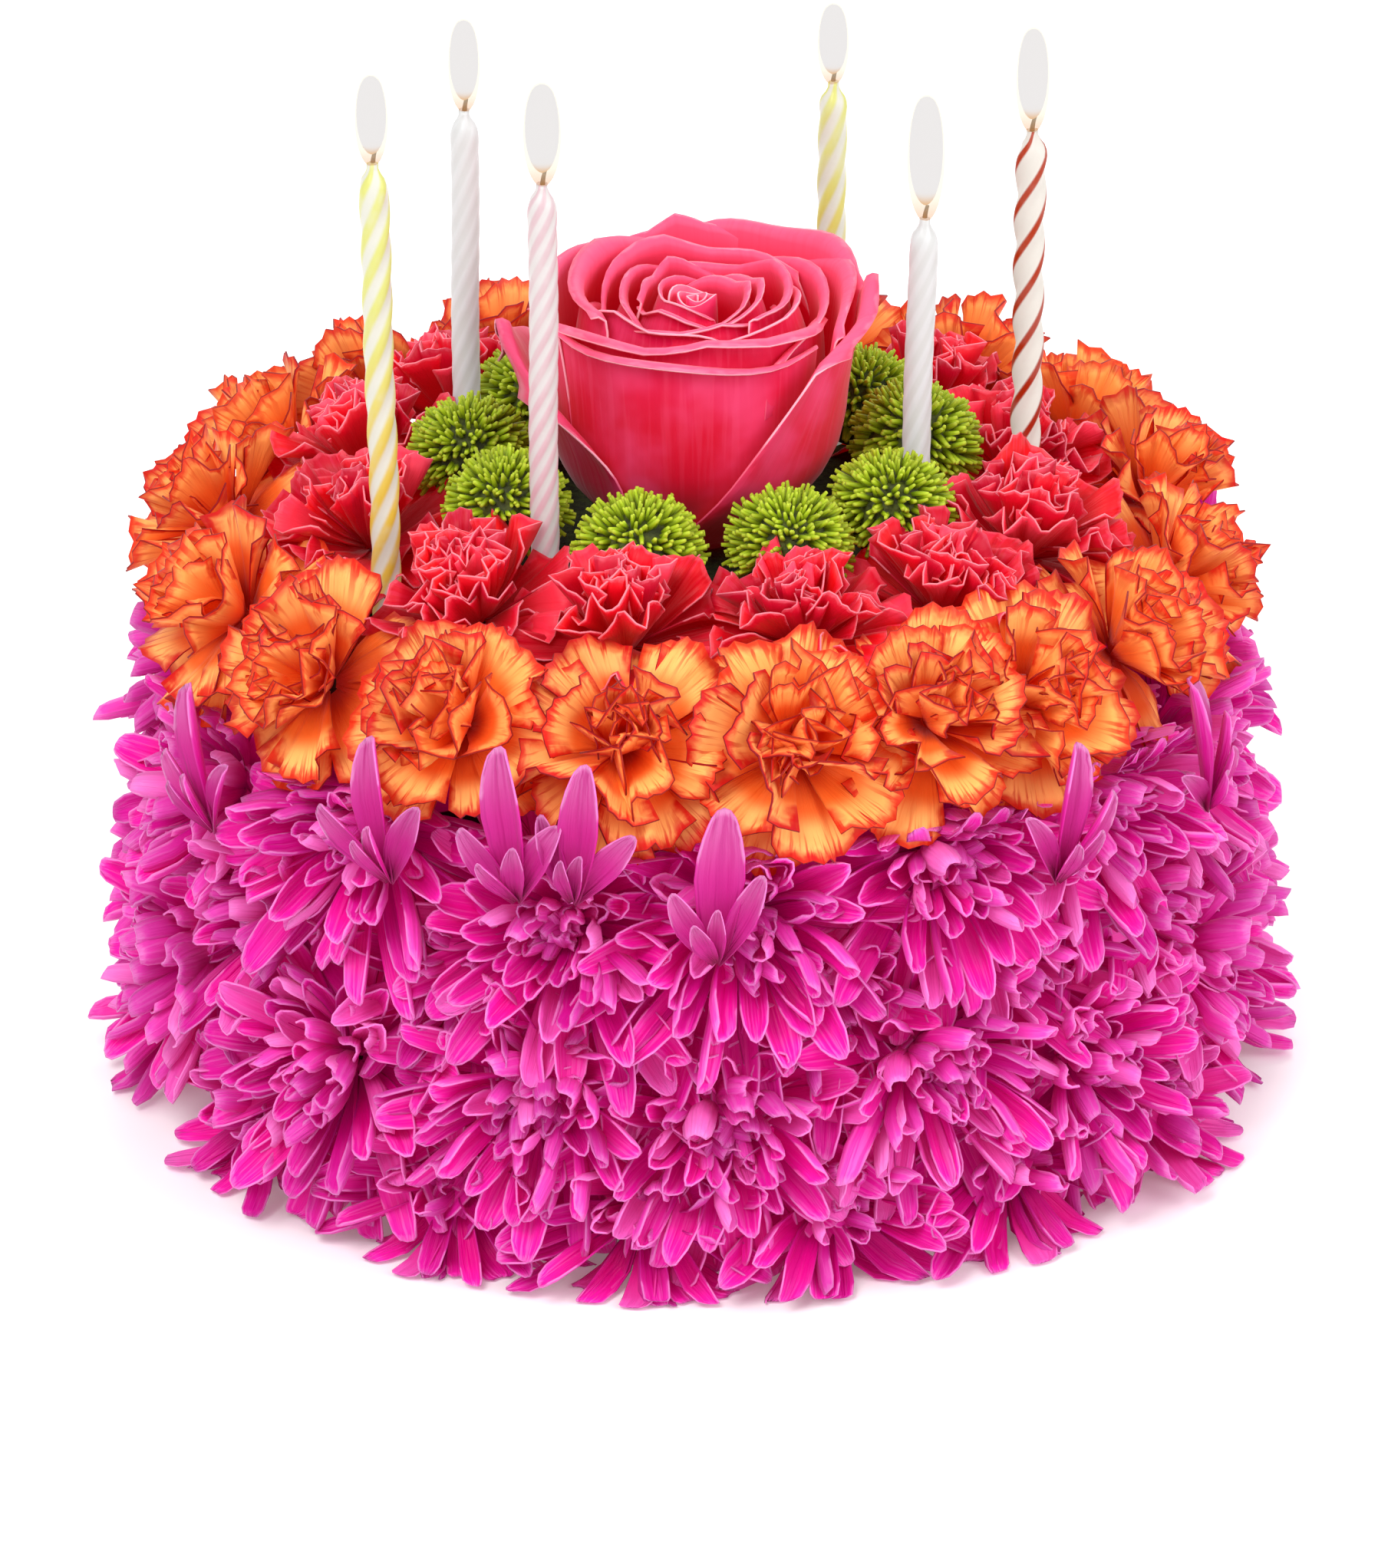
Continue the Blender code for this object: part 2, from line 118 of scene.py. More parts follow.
class Side(IntEnum):
    """Which side of a petal a material is on."""

    FACE = 0
    BACK = 1
    RIM = 2


# ---------------------------------------------------------------------------------------------------
# Finishes
# ---------------------------------------------------------------------------------------------------


class Graph:
    """A small hand for building a material's nodes."""

    def __init__(self, name: str) -> None:
        """Start a material with an empty Principled surface.

        Args:
            name: Name of the material.
        """
        self.material = bpy.data.materials.new(name)
        self.material.use_nodes = True
        self.tree = self.material.node_tree
        self.shader = self.tree.nodes["Principled BSDF"]

    def add(self, kind: str, **settings: object) -> bpy.types.Node:
        """Add a node and set its plain properties.

        Args:
            kind: Node type without the ShaderNode prefix.
            settings: Properties to set on the node.

        Returns:
            The new node.
        """
        node = self.tree.nodes.new(f"ShaderNode{kind}")
        for key, value in settings.items():
            setattr(node, key, value)
        return node

    def link(self, source: bpy.types.NodeSocket, target: bpy.types.NodeSocket) -> None:
        """Join two sockets."""
        self.tree.links.new(source, target)

    def feed(self, target: bpy.types.NodeSocket, value: object) -> None:
        """Link a socket, or set its value.

        Args:
            target: The socket that receives.
            value: A socket to link, or a plain value.
        """
        if isinstance(value, bpy.types.NodeSocket):
            self.link(value, target)
        elif isinstance(value, tuple) and len(value) == 3 and target.type == "RGBA":
            target.default_value = (*value, 1.0)
        else:
            target.default_value = value

    def math(self, operation: str, first: object, second: object = 0.0) -> bpy.types.NodeSocket:
        """Work out one number from two.

        Args:
            operation: Name of the Math node's operation.
            first: Socket or number.
            second: Socket or number.

        Returns:
            The result's socket.
        """
        node = self.add("Math", operation=operation)
        self.feed(node.inputs[0], first)
        self.feed(node.inputs[1], second)
        return node.outputs[0]

    def span(self, value: object, low: float, high: float) -> bpy.types.NodeSocket:
        """Ease a value from 0 at low to 1 at high.

        Args:
            value: Socket or number to ease.
            low: Value that gives 0.
            high: Value that gives 1.

        Returns:
            The eased value's socket.
        """
        node = self.add("MapRange", interpolation_type="SMOOTHSTEP")
        self.feed(node.inputs["Value"], value)
        node.inputs["From Min"].default_value = low
        node.inputs["From Max"].default_value = high
        return node.outputs["Result"]

    def mix(self, share: object, first: object, second: object, how: str = "MIX") -> bpy.types.NodeSocket:
        """Mix two colours.

        Args:
            share: How much of the second, as a socket or number.
            first: Colour or socket.
            second: Colour or socket.
            how: Blend type of the Mix node.

        Returns:
            The mixed colour's socket.
        """
        node = self.add("Mix", data_type="RGBA", blend_type=how)
        self.feed(node.inputs[0], share)
        self.feed(node.inputs[6], first)
        self.feed(node.inputs[7], second)
        return node.outputs[2]

    def petal_place(self) -> tuple[bpy.types.NodeSocket, bpy.types.NodeSocket]:
        """Give the place across and along a petal, both from 0 to 1."""
        parts = self.add("SeparateXYZ")
        self.link(self.add("UVMap", uv_map=PETAL_UV).outputs["UV"], parts.inputs[0])
        return parts.outputs["X"], parts.outputs["Y"]

    def tone(self) -> bpy.types.NodeSocket:
        """Give the number from 0 to 1 that tells one petal from the next."""
        return self.add("Attribute", attribute_name=TONE).outputs["Fac"]

    def streaks(self, across: object, along: object, fine: float, long: float) -> bpy.types.NodeSocket:
        """Make lengthwise streaks that differ from petal to petal.

        Args:
            across: Place across the petal.
            along: Place along the petal.
            fine: How many streaks fit across.
            long: How often a streak changes along.

        Returns:
            Socket with the streaks' strength, about 0.5 on average.
        """
        spot = self.add("CombineXYZ")
        self.feed(spot.inputs[0], self.math("MULTIPLY", across, fine))
        self.feed(spot.inputs[1], self.math("MULTIPLY", along, long))
        self.feed(spot.inputs[2], self.math("MULTIPLY", self.tone(), 37.0))
        noise = self.add("TexNoise")
        noise.inputs["Scale"].default_value = 1.0
        noise.inputs["Detail"].default_value = 2.0
        self.link(spot.outputs[0], noise.inputs["Vector"])
        return noise.outputs["Fac"]

    def speckle(self, scale: float, detail: float = 3.0) -> bpy.types.NodeSocket:
        """Make a noise that is fixed in the object.

        Args:
            scale: Scale of the noise, per metre.
            detail: How many finer layers it has.

        Returns:
            Socket with the noise.
        """
        noise = self.add("TexNoise")
        noise.inputs["Scale"].default_value = scale
        noise.inputs["Detail"].default_value = detail
        self.link(self.add("TexCoord").outputs["Object"], noise.inputs["Vector"])
        return noise.outputs["Fac"]

    def height(self) -> bpy.types.NodeSocket:
        """Give the height in the object, in metres."""
        parts = self.add("SeparateXYZ")
        self.link(self.add("TexCoord").outputs["Object"], parts.inputs[0])
        return parts.outputs["Z"]

    def emboss(self, height: bpy.types.NodeSocket, depth: float, strength: float = 1.0) -> None:
        """Raise the surface by a height.

        Args:
            height: Socket with the height, about 0 to 1.
            depth: Depth of the relief in metres.
            strength: Share of the relief that shows.
        """
        bump = self.add("Bump")
        bump.inputs["Distance"].default_value = depth
        bump.inputs["Strength"].default_value = strength
        self.link(height, bump.inputs["Height"])
        self.link(bump.outputs["Normal"], self.shader.inputs["Normal"])


@dataclass(frozen=True)
class PetalFinish:
    """Skin of a petal: a run of colour from root to margin, a coloured edge, streaks and veins, and a painted glow that
    lifts its shade.
    """

    name: str
    root: Colour
    middle: Colour
    tip: Colour
    edge: Colour
    edge_width: float = 0.1
    edge_share: float = 0.8
    streak: Colour | None = None
    streak_reach: float = 0.45
    streak_share: float = 0.8
    streak_count: float = 26.0
    middle_at: float = 0.35
    tip_at: float = 0.85
    tone_swing: float = 0.35
    hue_swing: float = 0.008
    # Painted light: a deep petal colour that the petal gives off, which fills and saturates its shade.
    painted_glow: Colour = (0.0, 0.0, 0.0)
    painted_glow_share: float = 0.0
    vein_depth: float = 0.25 * MM
    vein_count: float = 22.0
    pale: Colour | None = None
    pale_from: float = 0.8
    pale_share: float = 0.7
    blush: Colour | None = None
    blush_share: float = 0.4
    roughness: float = 0.5
    gloss: float = 0.25
    sheen: float = 0.05

    def material(self) -> bpy.types.Material:
        """Build the material.

        Returns:
            The finished material.
        """
        graph = Graph(self.name)
        across, along = graph.petal_place()
        tone = graph.tone()
        # The run from root to tip is partly the petal's own colour, and on the mum and rose-inside finishes it is
        # partly painted shade low in the bloom.
        colour = graph.mix(graph.span(along, 0.0, self.middle_at), self.root, self.middle)
        colour = graph.mix(graph.span(along, self.middle_at, self.tip_at), colour, self.tip)
        if self.streak is not None:
            lines = graph.span(graph.streaks(across, along, self.streak_count, 1.5), 0.5, 0.62)
            reach = graph.span(along, 1.0 - self.streak_reach, 1.0)
            share = graph.math("MULTIPLY", graph.math("MULTIPLY", lines, reach), self.streak_share)
            colour = graph.mix(share, colour, self.streak)
        # The edge colour is the margin's own colour on the orange petals, partly a painted highlight on the mum petals,
        # and a painted highlight on the pink ones.
        side = graph.math("ABSOLUTE", graph.math("SUBTRACT", graph.math("MULTIPLY", across, 2.0), 1.0))
        side = graph.math("MULTIPLY", side, graph.span(along, 0.25, 0.6))
        ragged = graph.streaks(across, along, 14.0, 9.0)
        margin = graph.math("MAXIMUM", side, along)
        margin = graph.math("ADD", margin, graph.math("MULTIPLY", graph.math("SUBTRACT", ragged, 0.5), 0.18))
        edge = graph.math("MULTIPLY", graph.span(margin, 1.0 - self.edge_width, 1.0), self.edge_share)
        colour = graph.mix(edge, colour, self.edge)
        if self.pale is not None:
            share = graph.math("MULTIPLY", graph.span(tone, self.pale_from - 0.05, self.pale_from), self.pale_share)
            share = graph.math("MULTIPLY", share, graph.span(along, 0.1, 0.9))
            colour = graph.mix(share, colour, self.pale)
        if self.blush is not None:
            share = graph.math("MULTIPLY", graph.span(graph.speckle(55.0), 0.42, 0.7), self.blush_share)
            colour = graph.mix(share, colour, self.blush)
        shade = graph.add("HueSaturation")
        light = graph.math("SUBTRACT", graph.math("MINIMUM", tone, 0.75), 0.46)
        light = graph.math("MULTIPLY", light, self.tone_swing)
        graph.feed(shade.inputs["Value"], graph.math("ADD", light, 1.0))
        hue = graph.math("MULTIPLY", graph.math("SUBTRACT", tone, 0.5), self.hue_swing)
        graph.feed(shade.inputs["Hue"], graph.math("ADD", hue, 0.5))
        graph.link(colour, shade.inputs["Color"])
        graph.link(shade.outputs[0], graph.shader.inputs["Base Color"])
        graph.emboss(graph.streaks(across, along, self.vein_count, 1.2), self.vein_depth)
        graph.shader.inputs["Roughness"].default_value = self.roughness
        graph.shader.inputs["Specular IOR Level"].default_value = self.gloss
        graph.shader.inputs["Sheen Weight"].default_value = self.sheen
        graph.shader.inputs["Sheen Roughness"].default_value = 0.4
        # Painted light: the petal glows a little in its glow colour, which fills its shade.
        graph.shader.inputs["Emission Color"].default_value = (*self.painted_glow, 1.0)
        graph.shader.inputs["Emission Strength"].default_value = self.painted_glow_share
        return graph.material


@dataclass(frozen=True)
class StripeFinish:
    """Wax whose twisted ribs are marked by the tone attribute: 0 in the grooves, 1 on the ribs; it glows in its own
    colour, painted light that lifts its shaded side.
    """

    name: str
    groove: Colour
    rib: Colour
    low_rib: Colour
    split: float = 0.5
    blur: float = 0.35
    fade: float = 0.45
    # Share of painted light: the wax glows in its own colour to flatten its shade.
    painted_glow_share: float = 0.5
    roughness: float = 0.42
    gloss: float = 0.5

    def material(self) -> bpy.types.Material:
        """Build the material.

        Returns:
            The finished material.
        """
        graph = Graph(self.name)
        share = graph.span(graph.tone(), self.split - self.blur, self.split + self.blur)
        worn = graph.span(graph.speckle(160.0), 0.4, 0.75)
        share = graph.math("MULTIPLY", share, graph.math("SUBTRACT", 1.0, graph.math("MULTIPLY", worn, self.fade)))
        rib = graph.mix(graph.span(graph.height(), 120.0 * MM, 165.0 * MM), self.low_rib, self.rib)
        colour = graph.mix(share, self.groove, rib)
        graph.link(colour, graph.shader.inputs["Base Color"])
        # Painted light: the wax gives off its own colour, which lifts the shade on its dark side.
        graph.link(colour, graph.shader.inputs["Emission Color"])
        graph.shader.inputs["Emission Strength"].default_value = self.painted_glow_share
        graph.emboss(graph.speckle(1100.0), 0.06 * MM, 0.5)
        graph.shader.inputs["Roughness"].default_value = self.roughness
        graph.shader.inputs["Specular IOR Level"].default_value = self.gloss
        graph.shader.inputs["Subsurface Weight"].default_value = 0.1
        graph.shader.inputs["Subsurface Radius"].default_value = (1.0, 1.0, 0.9)
        graph.shader.inputs["Subsurface Scale"].default_value = 1.0 * MM
        graph.shader.inputs["Coat Weight"].default_value = 0.1
        graph.shader.inputs["Coat Roughness"].default_value = 0.3
        return graph.material


@dataclass(frozen=True)
class MottleFinish:
    """Matt stuff of two colours in patches, such as foam, stems or a burnt wick."""

    name: str
    dark: Colour
    light: Colour
    scale: float
    relief: float
    roughness: float = 0.85

    def material(self) -> bpy.types.Material:
        """Build the material.

        Returns:
            The finished material.
        """
        graph = Graph(self.name)
        patch = graph.speckle(self.scale, 5.0)
        colour = graph.mix(graph.span(patch, 0.35, 0.65), self.dark, self.light)
        graph.link(colour, graph.shader.inputs["Base Color"])
        graph.emboss(graph.speckle(self.scale * 2.5, 4.0), self.relief)
        graph.shader.inputs["Roughness"].default_value = self.roughness
        return graph.material


@dataclass(frozen=True)
class GlowFinish:
    """Light of a flame, from its foot to its tip."""

    name: str
    foot: Colour
    body: Colour
    strength: float
    alpha: float
    foot_reach: float = 0.25

    def material(self) -> bpy.types.Material:
        """Build the material.

        Returns:
            The finished material.
        """
        graph = Graph(self.name)
        colour = graph.mix(graph.span(graph.tone(), 0.0, self.foot_reach), self.foot, self.body)
        graph.link(colour, graph.shader.inputs["Emission Color"])
        graph.shader.inputs["Emission Strength"].default_value = self.strength
        graph.shader.inputs["Base Color"].default_value = (0.02, 0.015, 0.01, 1.0)
        graph.shader.inputs["Roughness"].default_value = 1.0
        graph.shader.inputs["Specular IOR Level"].default_value = 0.0
        graph.shader.inputs["Alpha"].default_value = self.alpha
        return graph.material


# Painted light: the deep magenta in which the mum petals glow to fill the shade between them.
MUM_PAINTED_GLOW = srgb(170, 0, 84)
# Mum faces darken towards the root and pale towards the tip and edges: partly the petals' own paler tips, partly
# painted shade deep in the head and painted highlights where the cupped edges catch the light.
MUM_FACE = PetalFinish(
    "mum_face", srgb(124, 0, 58), srgb(196, 0, 120), srgb(226, 26, 162), srgb(244, 156, 224),
    edge_width=0.10, edge_share=0.3, streak=srgb(232, 110, 198), streak_reach=0.7, streak_share=0.5,
    streak_count=12.0, vein_count=10.0, vein_depth=0.5 * MM, tone_swing=0.5, roughness=0.42, gloss=0.16,
    pale=srgb(204, 92, 172), pale_from=0.84, painted_glow=MUM_PAINTED_GLOW, painted_glow_share=0.2,
)
MUM_BACK = PetalFinish(
    "mum_back", srgb(144, 0, 80), srgb(198, 14, 136), srgb(216, 62, 170), srgb(234, 150, 212),
    edge_width=0.14, edge_share=0.4, streak=srgb(214, 104, 184), streak_reach=0.9, streak_share=0.5,
    streak_count=10.0, vein_count=10.0, vein_depth=0.5 * MM, tone_swing=0.5, roughness=0.42, gloss=0.16,
    pale=srgb(214, 116, 186), pale_from=0.84, painted_glow=MUM_PAINTED_GLOW, painted_glow_share=0.18,
)
# The pale rim is partly the petal's paler reverse showing at its edge, partly a painted highlight along the margin.
MUM_RIM = PetalFinish(
    "mum_rim", srgb(150, 0, 90), srgb(196, 16, 134), srgb(214, 72, 170), srgb(226, 120, 192),
    tone_swing=0.4, roughness=0.4,
)
MUM_CREST = PetalFinish(
    "mum_crest", srgb(140, 0, 74), srgb(184, 36, 128), srgb(194, 92, 154), srgb(214, 150, 194),
    edge_width=0.16, edge_share=0.6, streak=srgb(172, 20, 116), streak_reach=0.95, streak_share=0.6,
    streak_count=9.0, vein_count=9.0, vein_depth=0.5 * MM, tone_swing=0.5, roughness=0.5, gloss=0.12,
    painted_glow=MUM_PAINTED_GLOW, painted_glow_share=0.1,
)
# Painted light: the deep red in which the orange petals glow to fill their shade.
ORANGE_PAINTED_GLOW = srgb(196, 22, 4)
ORANGE_FACE = PetalFinish(
    "orange_face", srgb(168, 10, 2), srgb(232, 110, 38), srgb(246, 182, 100), srgb(202, 18, 4),
    edge_width=0.26, edge_share=0.97, streak=srgb(190, 16, 6), streak_reach=0.6, streak_share=0.95,
    streak_count=26.0, tone_swing=0.3, roughness=0.6, middle_at=0.42, tip_at=0.66,
    painted_glow=ORANGE_PAINTED_GLOW, painted_glow_share=0.2,
)
ORANGE_BACK = PetalFinish(
    "orange_back", srgb(184, 30, 6), srgb(226, 104, 36), srgb(242, 160, 84), srgb(204, 30, 8),
    edge_width=0.2, edge_share=0.95, streak=srgb(200, 30, 8), streak_reach=0.5, streak_share=0.85,
    streak_count=26.0, tone_swing=0.3, roughness=0.6, painted_glow=ORANGE_PAINTED_GLOW, painted_glow_share=0.08,
)
ORANGE_RIM = PetalFinish(
    "orange_rim", srgb(206, 50, 14), srgb(180, 18, 6), srgb(150, 8, 4), srgb(140, 4, 4),
    tone_swing=0.2, roughness=0.6,
)
# Painted light: the deep red in which the pink petals glow to fill their shade.
PINK_PAINTED_GLOW = srgb(176, 0, 8)
# The pale edges of the pink petals are painted highlights along their margins.
PINK_FACE = PetalFinish(
    "pink_face", srgb(80, 0, 4), srgb(158, 0, 12), srgb(204, 0, 26), srgb(238, 84, 100),
    edge_width=0.08, edge_share=0.55, streak=srgb(218, 36, 72), streak_reach=0.45, streak_share=0.5,
    streak_count=22.0, tone_swing=0.6, roughness=0.5, middle_at=0.45, tip_at=0.9,
    pale=srgb(230, 60, 100), pale_from=0.85, pale_share=0.5, painted_glow=PINK_PAINTED_GLOW, painted_glow_share=0.22,
)
PINK_BACK = PetalFinish(
    "pink_back", srgb(104, 0, 6), srgb(166, 0, 18), srgb(200, 4, 38), srgb(236, 96, 116),
    edge_width=0.08, edge_share=0.55, tone_swing=0.6, roughness=0.5, middle_at=0.45,
    pale=srgb(232, 76, 114), pale_from=0.85, pale_share=0.5, painted_glow=PINK_PAINTED_GLOW, painted_glow_share=0.22,
)
# The pale rim is a painted highlight along the petal margins.
PINK_RIM = PetalFinish(
    "pink_rim", srgb(160, 0, 20), srgb(198, 12, 40), srgb(222, 72, 92), srgb(238, 132, 146),
    tone_swing=0.3, roughness=0.5,
)
# Painted light: the crimson in which the rose petals glow to fill the shade between the whorls.
ROSE_PAINTED_GLOW = srgb(204, 0, 22)
ROSE_OUTSIDE = PetalFinish(
    "rose_outside", srgb(170, 0, 20), srgb(202, 0, 44), srgb(212, 8, 74), srgb(240, 104, 144),
    edge_width=0.03, edge_share=0.45, streak=srgb(238, 92, 132), streak_reach=1.0, streak_share=0.18,
    streak_count=44.0, vein_count=44.0, vein_depth=0.12 * MM, tone_swing=0.45, roughness=0.55, sheen=0.2,
    middle_at=0.5, tip_at=0.95, blush=srgb(232, 76, 130), blush_share=0.55, painted_glow=ROSE_PAINTED_GLOW, painted_glow_share=0.06,
)
# The inside runs from dark red low down to pale pink near the rim: the dark lower part is painted shade in the depths
# between the whorls.
ROSE_INSIDE = PetalFinish(
    "rose_inside", srgb(170, 0, 24), srgb(204, 0, 40), srgb(232, 80, 120), srgb(246, 150, 176),
    edge_width=0.04, edge_share=0.35, streak=srgb(222, 50, 86), streak_reach=0.8, streak_share=0.15,
    streak_count=40.0, vein_count=40.0, vein_depth=0.1 * MM, tone_swing=0.3, roughness=0.55, sheen=0.12,
    middle_at=0.58, tip_at=0.88, painted_glow=ROSE_PAINTED_GLOW, painted_glow_share=0.26,
)
ROSE_RIM = PetalFinish(
    "rose_rim", srgb(200, 4, 44), srgb(234, 84, 118), srgb(246, 140, 166), srgb(250, 176, 192),
    tone_swing=0.1, roughness=0.5,
)
# The pom florets glow faintly in dark olive: painted light that fills the shade between them.
POM_SKIN = PetalFinish(
    "pom_floret", srgb(36, 46, 0), srgb(94, 116, 0), srgb(158, 180, 20), srgb(196, 210, 70),
    edge_width=0.10, edge_share=0.5, vein_count=6.0, vein_depth=0.1 * MM, tone_swing=0.4,
    roughness=0.55, middle_at=0.55, tip_at=0.98, painted_glow=srgb(70, 62, 0), painted_glow_share=0.2,
)
STEM_GREEN = MottleFinish("stem_green", srgb(38, 62, 14), srgb(92, 128, 40), 300.0, 0.2 * MM, 0.6)
POM_HEART = MottleFinish("pom_heart", srgb(40, 44, 2), srgb(76, 84, 6), 500.0, 0.3 * MM, 0.7)
FOAM_GREEN = MottleFinish("soaked_foam", srgb(24, 30, 8), srgb(50, 62, 18), 700.0, 0.5 * MM, 0.9)
WICK_CHAR = MottleFinish("burnt_wick", srgb(44, 26, 16), srgb(104, 66, 38), 2500.0, 0.1 * MM, 0.9)
FLAME_VEIL = GlowFinish("flame_veil", srgb(226, 156, 84), srgb(246, 236, 208), 0.98, 0.42, 0.26)
FLAME_HEART = GlowFinish("flame_heart", srgb(226, 160, 92), srgb(230, 234, 252), 0.98, 0.94, 0.16)


# ---------------------------------------------------------------------------------------------------
# Modelling by hand
# ---------------------------------------------------------------------------------------------------


def pick(obj: bpy.types.Object) -> None:
    """Make one object the only one selected."""
    bpy.ops.object.select_all(action="DESELECT")
    obj.select_set(True)
    bpy.context.view_layer.objects.active = obj


def apply_modifier(obj: bpy.types.Object, kind: str, **settings: object) -> None:
    """Add a modifier and apply it at once.

    Args:
        obj: Object to change.
        kind: Type of modifier.
        settings: Its properties.
    """
    pick(obj)
    modifier = obj.modifiers.new(kind.lower(), kind)
    for key, value in settings.items():
        setattr(modifier, key, value)
    bpy.ops.object.modifier_apply(modifier=modifier.name)


def sheet(name: str, across: int, along: int, shape: SheetShape) -> bpy.types.Object:
    """Shape a flat grid into a thin sheet.

    Args:
        name: Name of the sheet.
        across: Faces across it.
        along: Faces along it.
        shape: Gives the point at a place across, -1 to 1, and along, 0 to 1.

    Returns:
        The sheet, with its UV map across and along.
    """
    bpy.ops.object.select_all(action="DESELECT")
    bpy.ops.mesh.primitive_grid_add(x_subdivisions=across, y_subdivisions=along, size=2.0)
    obj = bpy.context.object
    obj.name = name
    for vert in obj.data.vertices:
        vert.co = shape(vert.co.x, (vert.co.y + 1.0) / 2.0)
    return obj


def thicken(obj: bpy.types.Object, thickness: float) -> bpy.types.Object:
    """Give a sheet its thickness, with a material each for its face, back and rim.

    Args:
        obj: The sheet.
        thickness: Its thickness in metres.

    Returns:
        The same object, smooth.
    """
    for side in Side:
        obj.data.materials.append(None)
    apply_modifier(
        obj, "SOLIDIFY", thickness=thickness, offset=-1.0, use_rim=True,
        material_offset=int(Side.BACK), material_offset_rim=int(Side.RIM),
    )
    obj.data.polygons.foreach_set("use_smooth", [True] * len(obj.data.polygons))
    return obj


def set_tone(mesh: bpy.types.Mesh, values: float | Sequence[float]) -> None:
    """Write the tone attribute.

    Args:
        mesh: Mesh to mark.
        values: One number for the whole mesh, or one for each point.
    """
    layer = mesh.attributes.get(TONE) or mesh.attributes.new(TONE, "FLOAT", "POINT")
    if isinstance(values, float):
        values = [values] * len(mesh.vertices)
    layer.data.foreach_set("value", values)


def copy_of(pattern: bpy.types.Object, name: str, place: Matrix, tone: float) -> bpy.types.Object:
    """Copy a pattern piece with its own mesh.

    Args:
        pattern: Piece to copy.
        name: Name of the copy.
        place: Where its mesh goes.
        tone: Number that tells it from its neighbours.

    Returns:
        The copy, with its place in its mesh.
    """
    mesh = pattern.data.copy()
    mesh.transform(place)
    set_tone(mesh, tone)
    obj = bpy.data.objects.new(name, mesh)
    bpy.context.scene.collection.objects.link(obj)
    return obj


def bunch(name: str, loose: Sequence[bpy.types.Object], finishes: Sequence[bpy.types.Material]) -> bpy.types.Object:
    """Join loose pieces into one.

    Args:
        name: Name of the whole.
        loose: Pieces to join.
        finishes: Materials in the order of their slots.

    Returns:
        The whole.
    """
    bpy.ops.object.select_all(action="DESELECT")
    for piece in loose:
        slots = piece.data.materials
        while len(slots) < len(finishes):
            slots.append(None)
        for index, finish in enumerate(finishes):
            slots[index] = finish
        piece.select_set(True)
    bpy.context.view_layer.objects.active = loose[0]
    bpy.ops.object.join()
    whole = loose[0]
    whole.name = name
    whole.data.name = name
    return whole


def discard(objects: Sequence[bpy.types.Object]) -> None:
    """Remove pattern pieces that were only copied from."""
    for obj in objects:
        bpy.data.meshes.remove(obj.data, do_unlink=True)


def points_of(mesh: bpy.types.Mesh) -> np.ndarray:
    """Read a mesh's points as rows."""
    flat = np.empty(len(mesh.vertices) * 3)
    mesh.vertices.foreach_get("co", flat)
    return flat.reshape(-1, 3)


def move_points(mesh: bpy.types.Mesh, points: np.ndarray) -> None:
    """Write a mesh's points from rows."""
    mesh.vertices.foreach_set("co", points.ravel())
    mesh.update()


def polar(azimuth: float, radius: float, height: float) -> Vector:
    """Give the point at an azimuth in degrees, a radius and a height."""
    turn = math.radians(azimuth)
    return Vector((radius * math.sin(turn), -radius * math.cos(turn), height))


def facing(middle: Vector, axis: Vector, spin: float, size: float = 1.0) -> Matrix:
    """Give the place of a bloom grown upright.

    Args:
        middle: Where the bloom's root goes.
        axis: Where its face looks.
        spin: Turn about its axis, in radians.
        size: Scale of the bloom.

    Returns:
        The matrix that sets it there.
    """
    turn = UP.rotation_difference(axis.normalized()).to_matrix().to_4x4()
    return Matrix.Translation(middle) @ turn @ Matrix.Rotation(spin, 4, "Z") @ Matrix.Scale(size, 4)


def show(piece: bpy.types.Object, node: str, slot: str) -> bpy.types.Object:
    """Let a piece stand for a node of the frame.

    Args:
        piece: The finished piece.
        node: Node that it replaces.
        slot: Material slot of the record; not used.

    Returns:
        The piece.
    """
    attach(piece, BODY)
    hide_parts(node)
    LOG.info("%s stands for %s with %d faces", piece.name, node, len(piece.data.polygons))
    return piece


# ---------------------------------------------------------------------------------------------------
# Petals
# ---------------------------------------------------------------------------------------------------


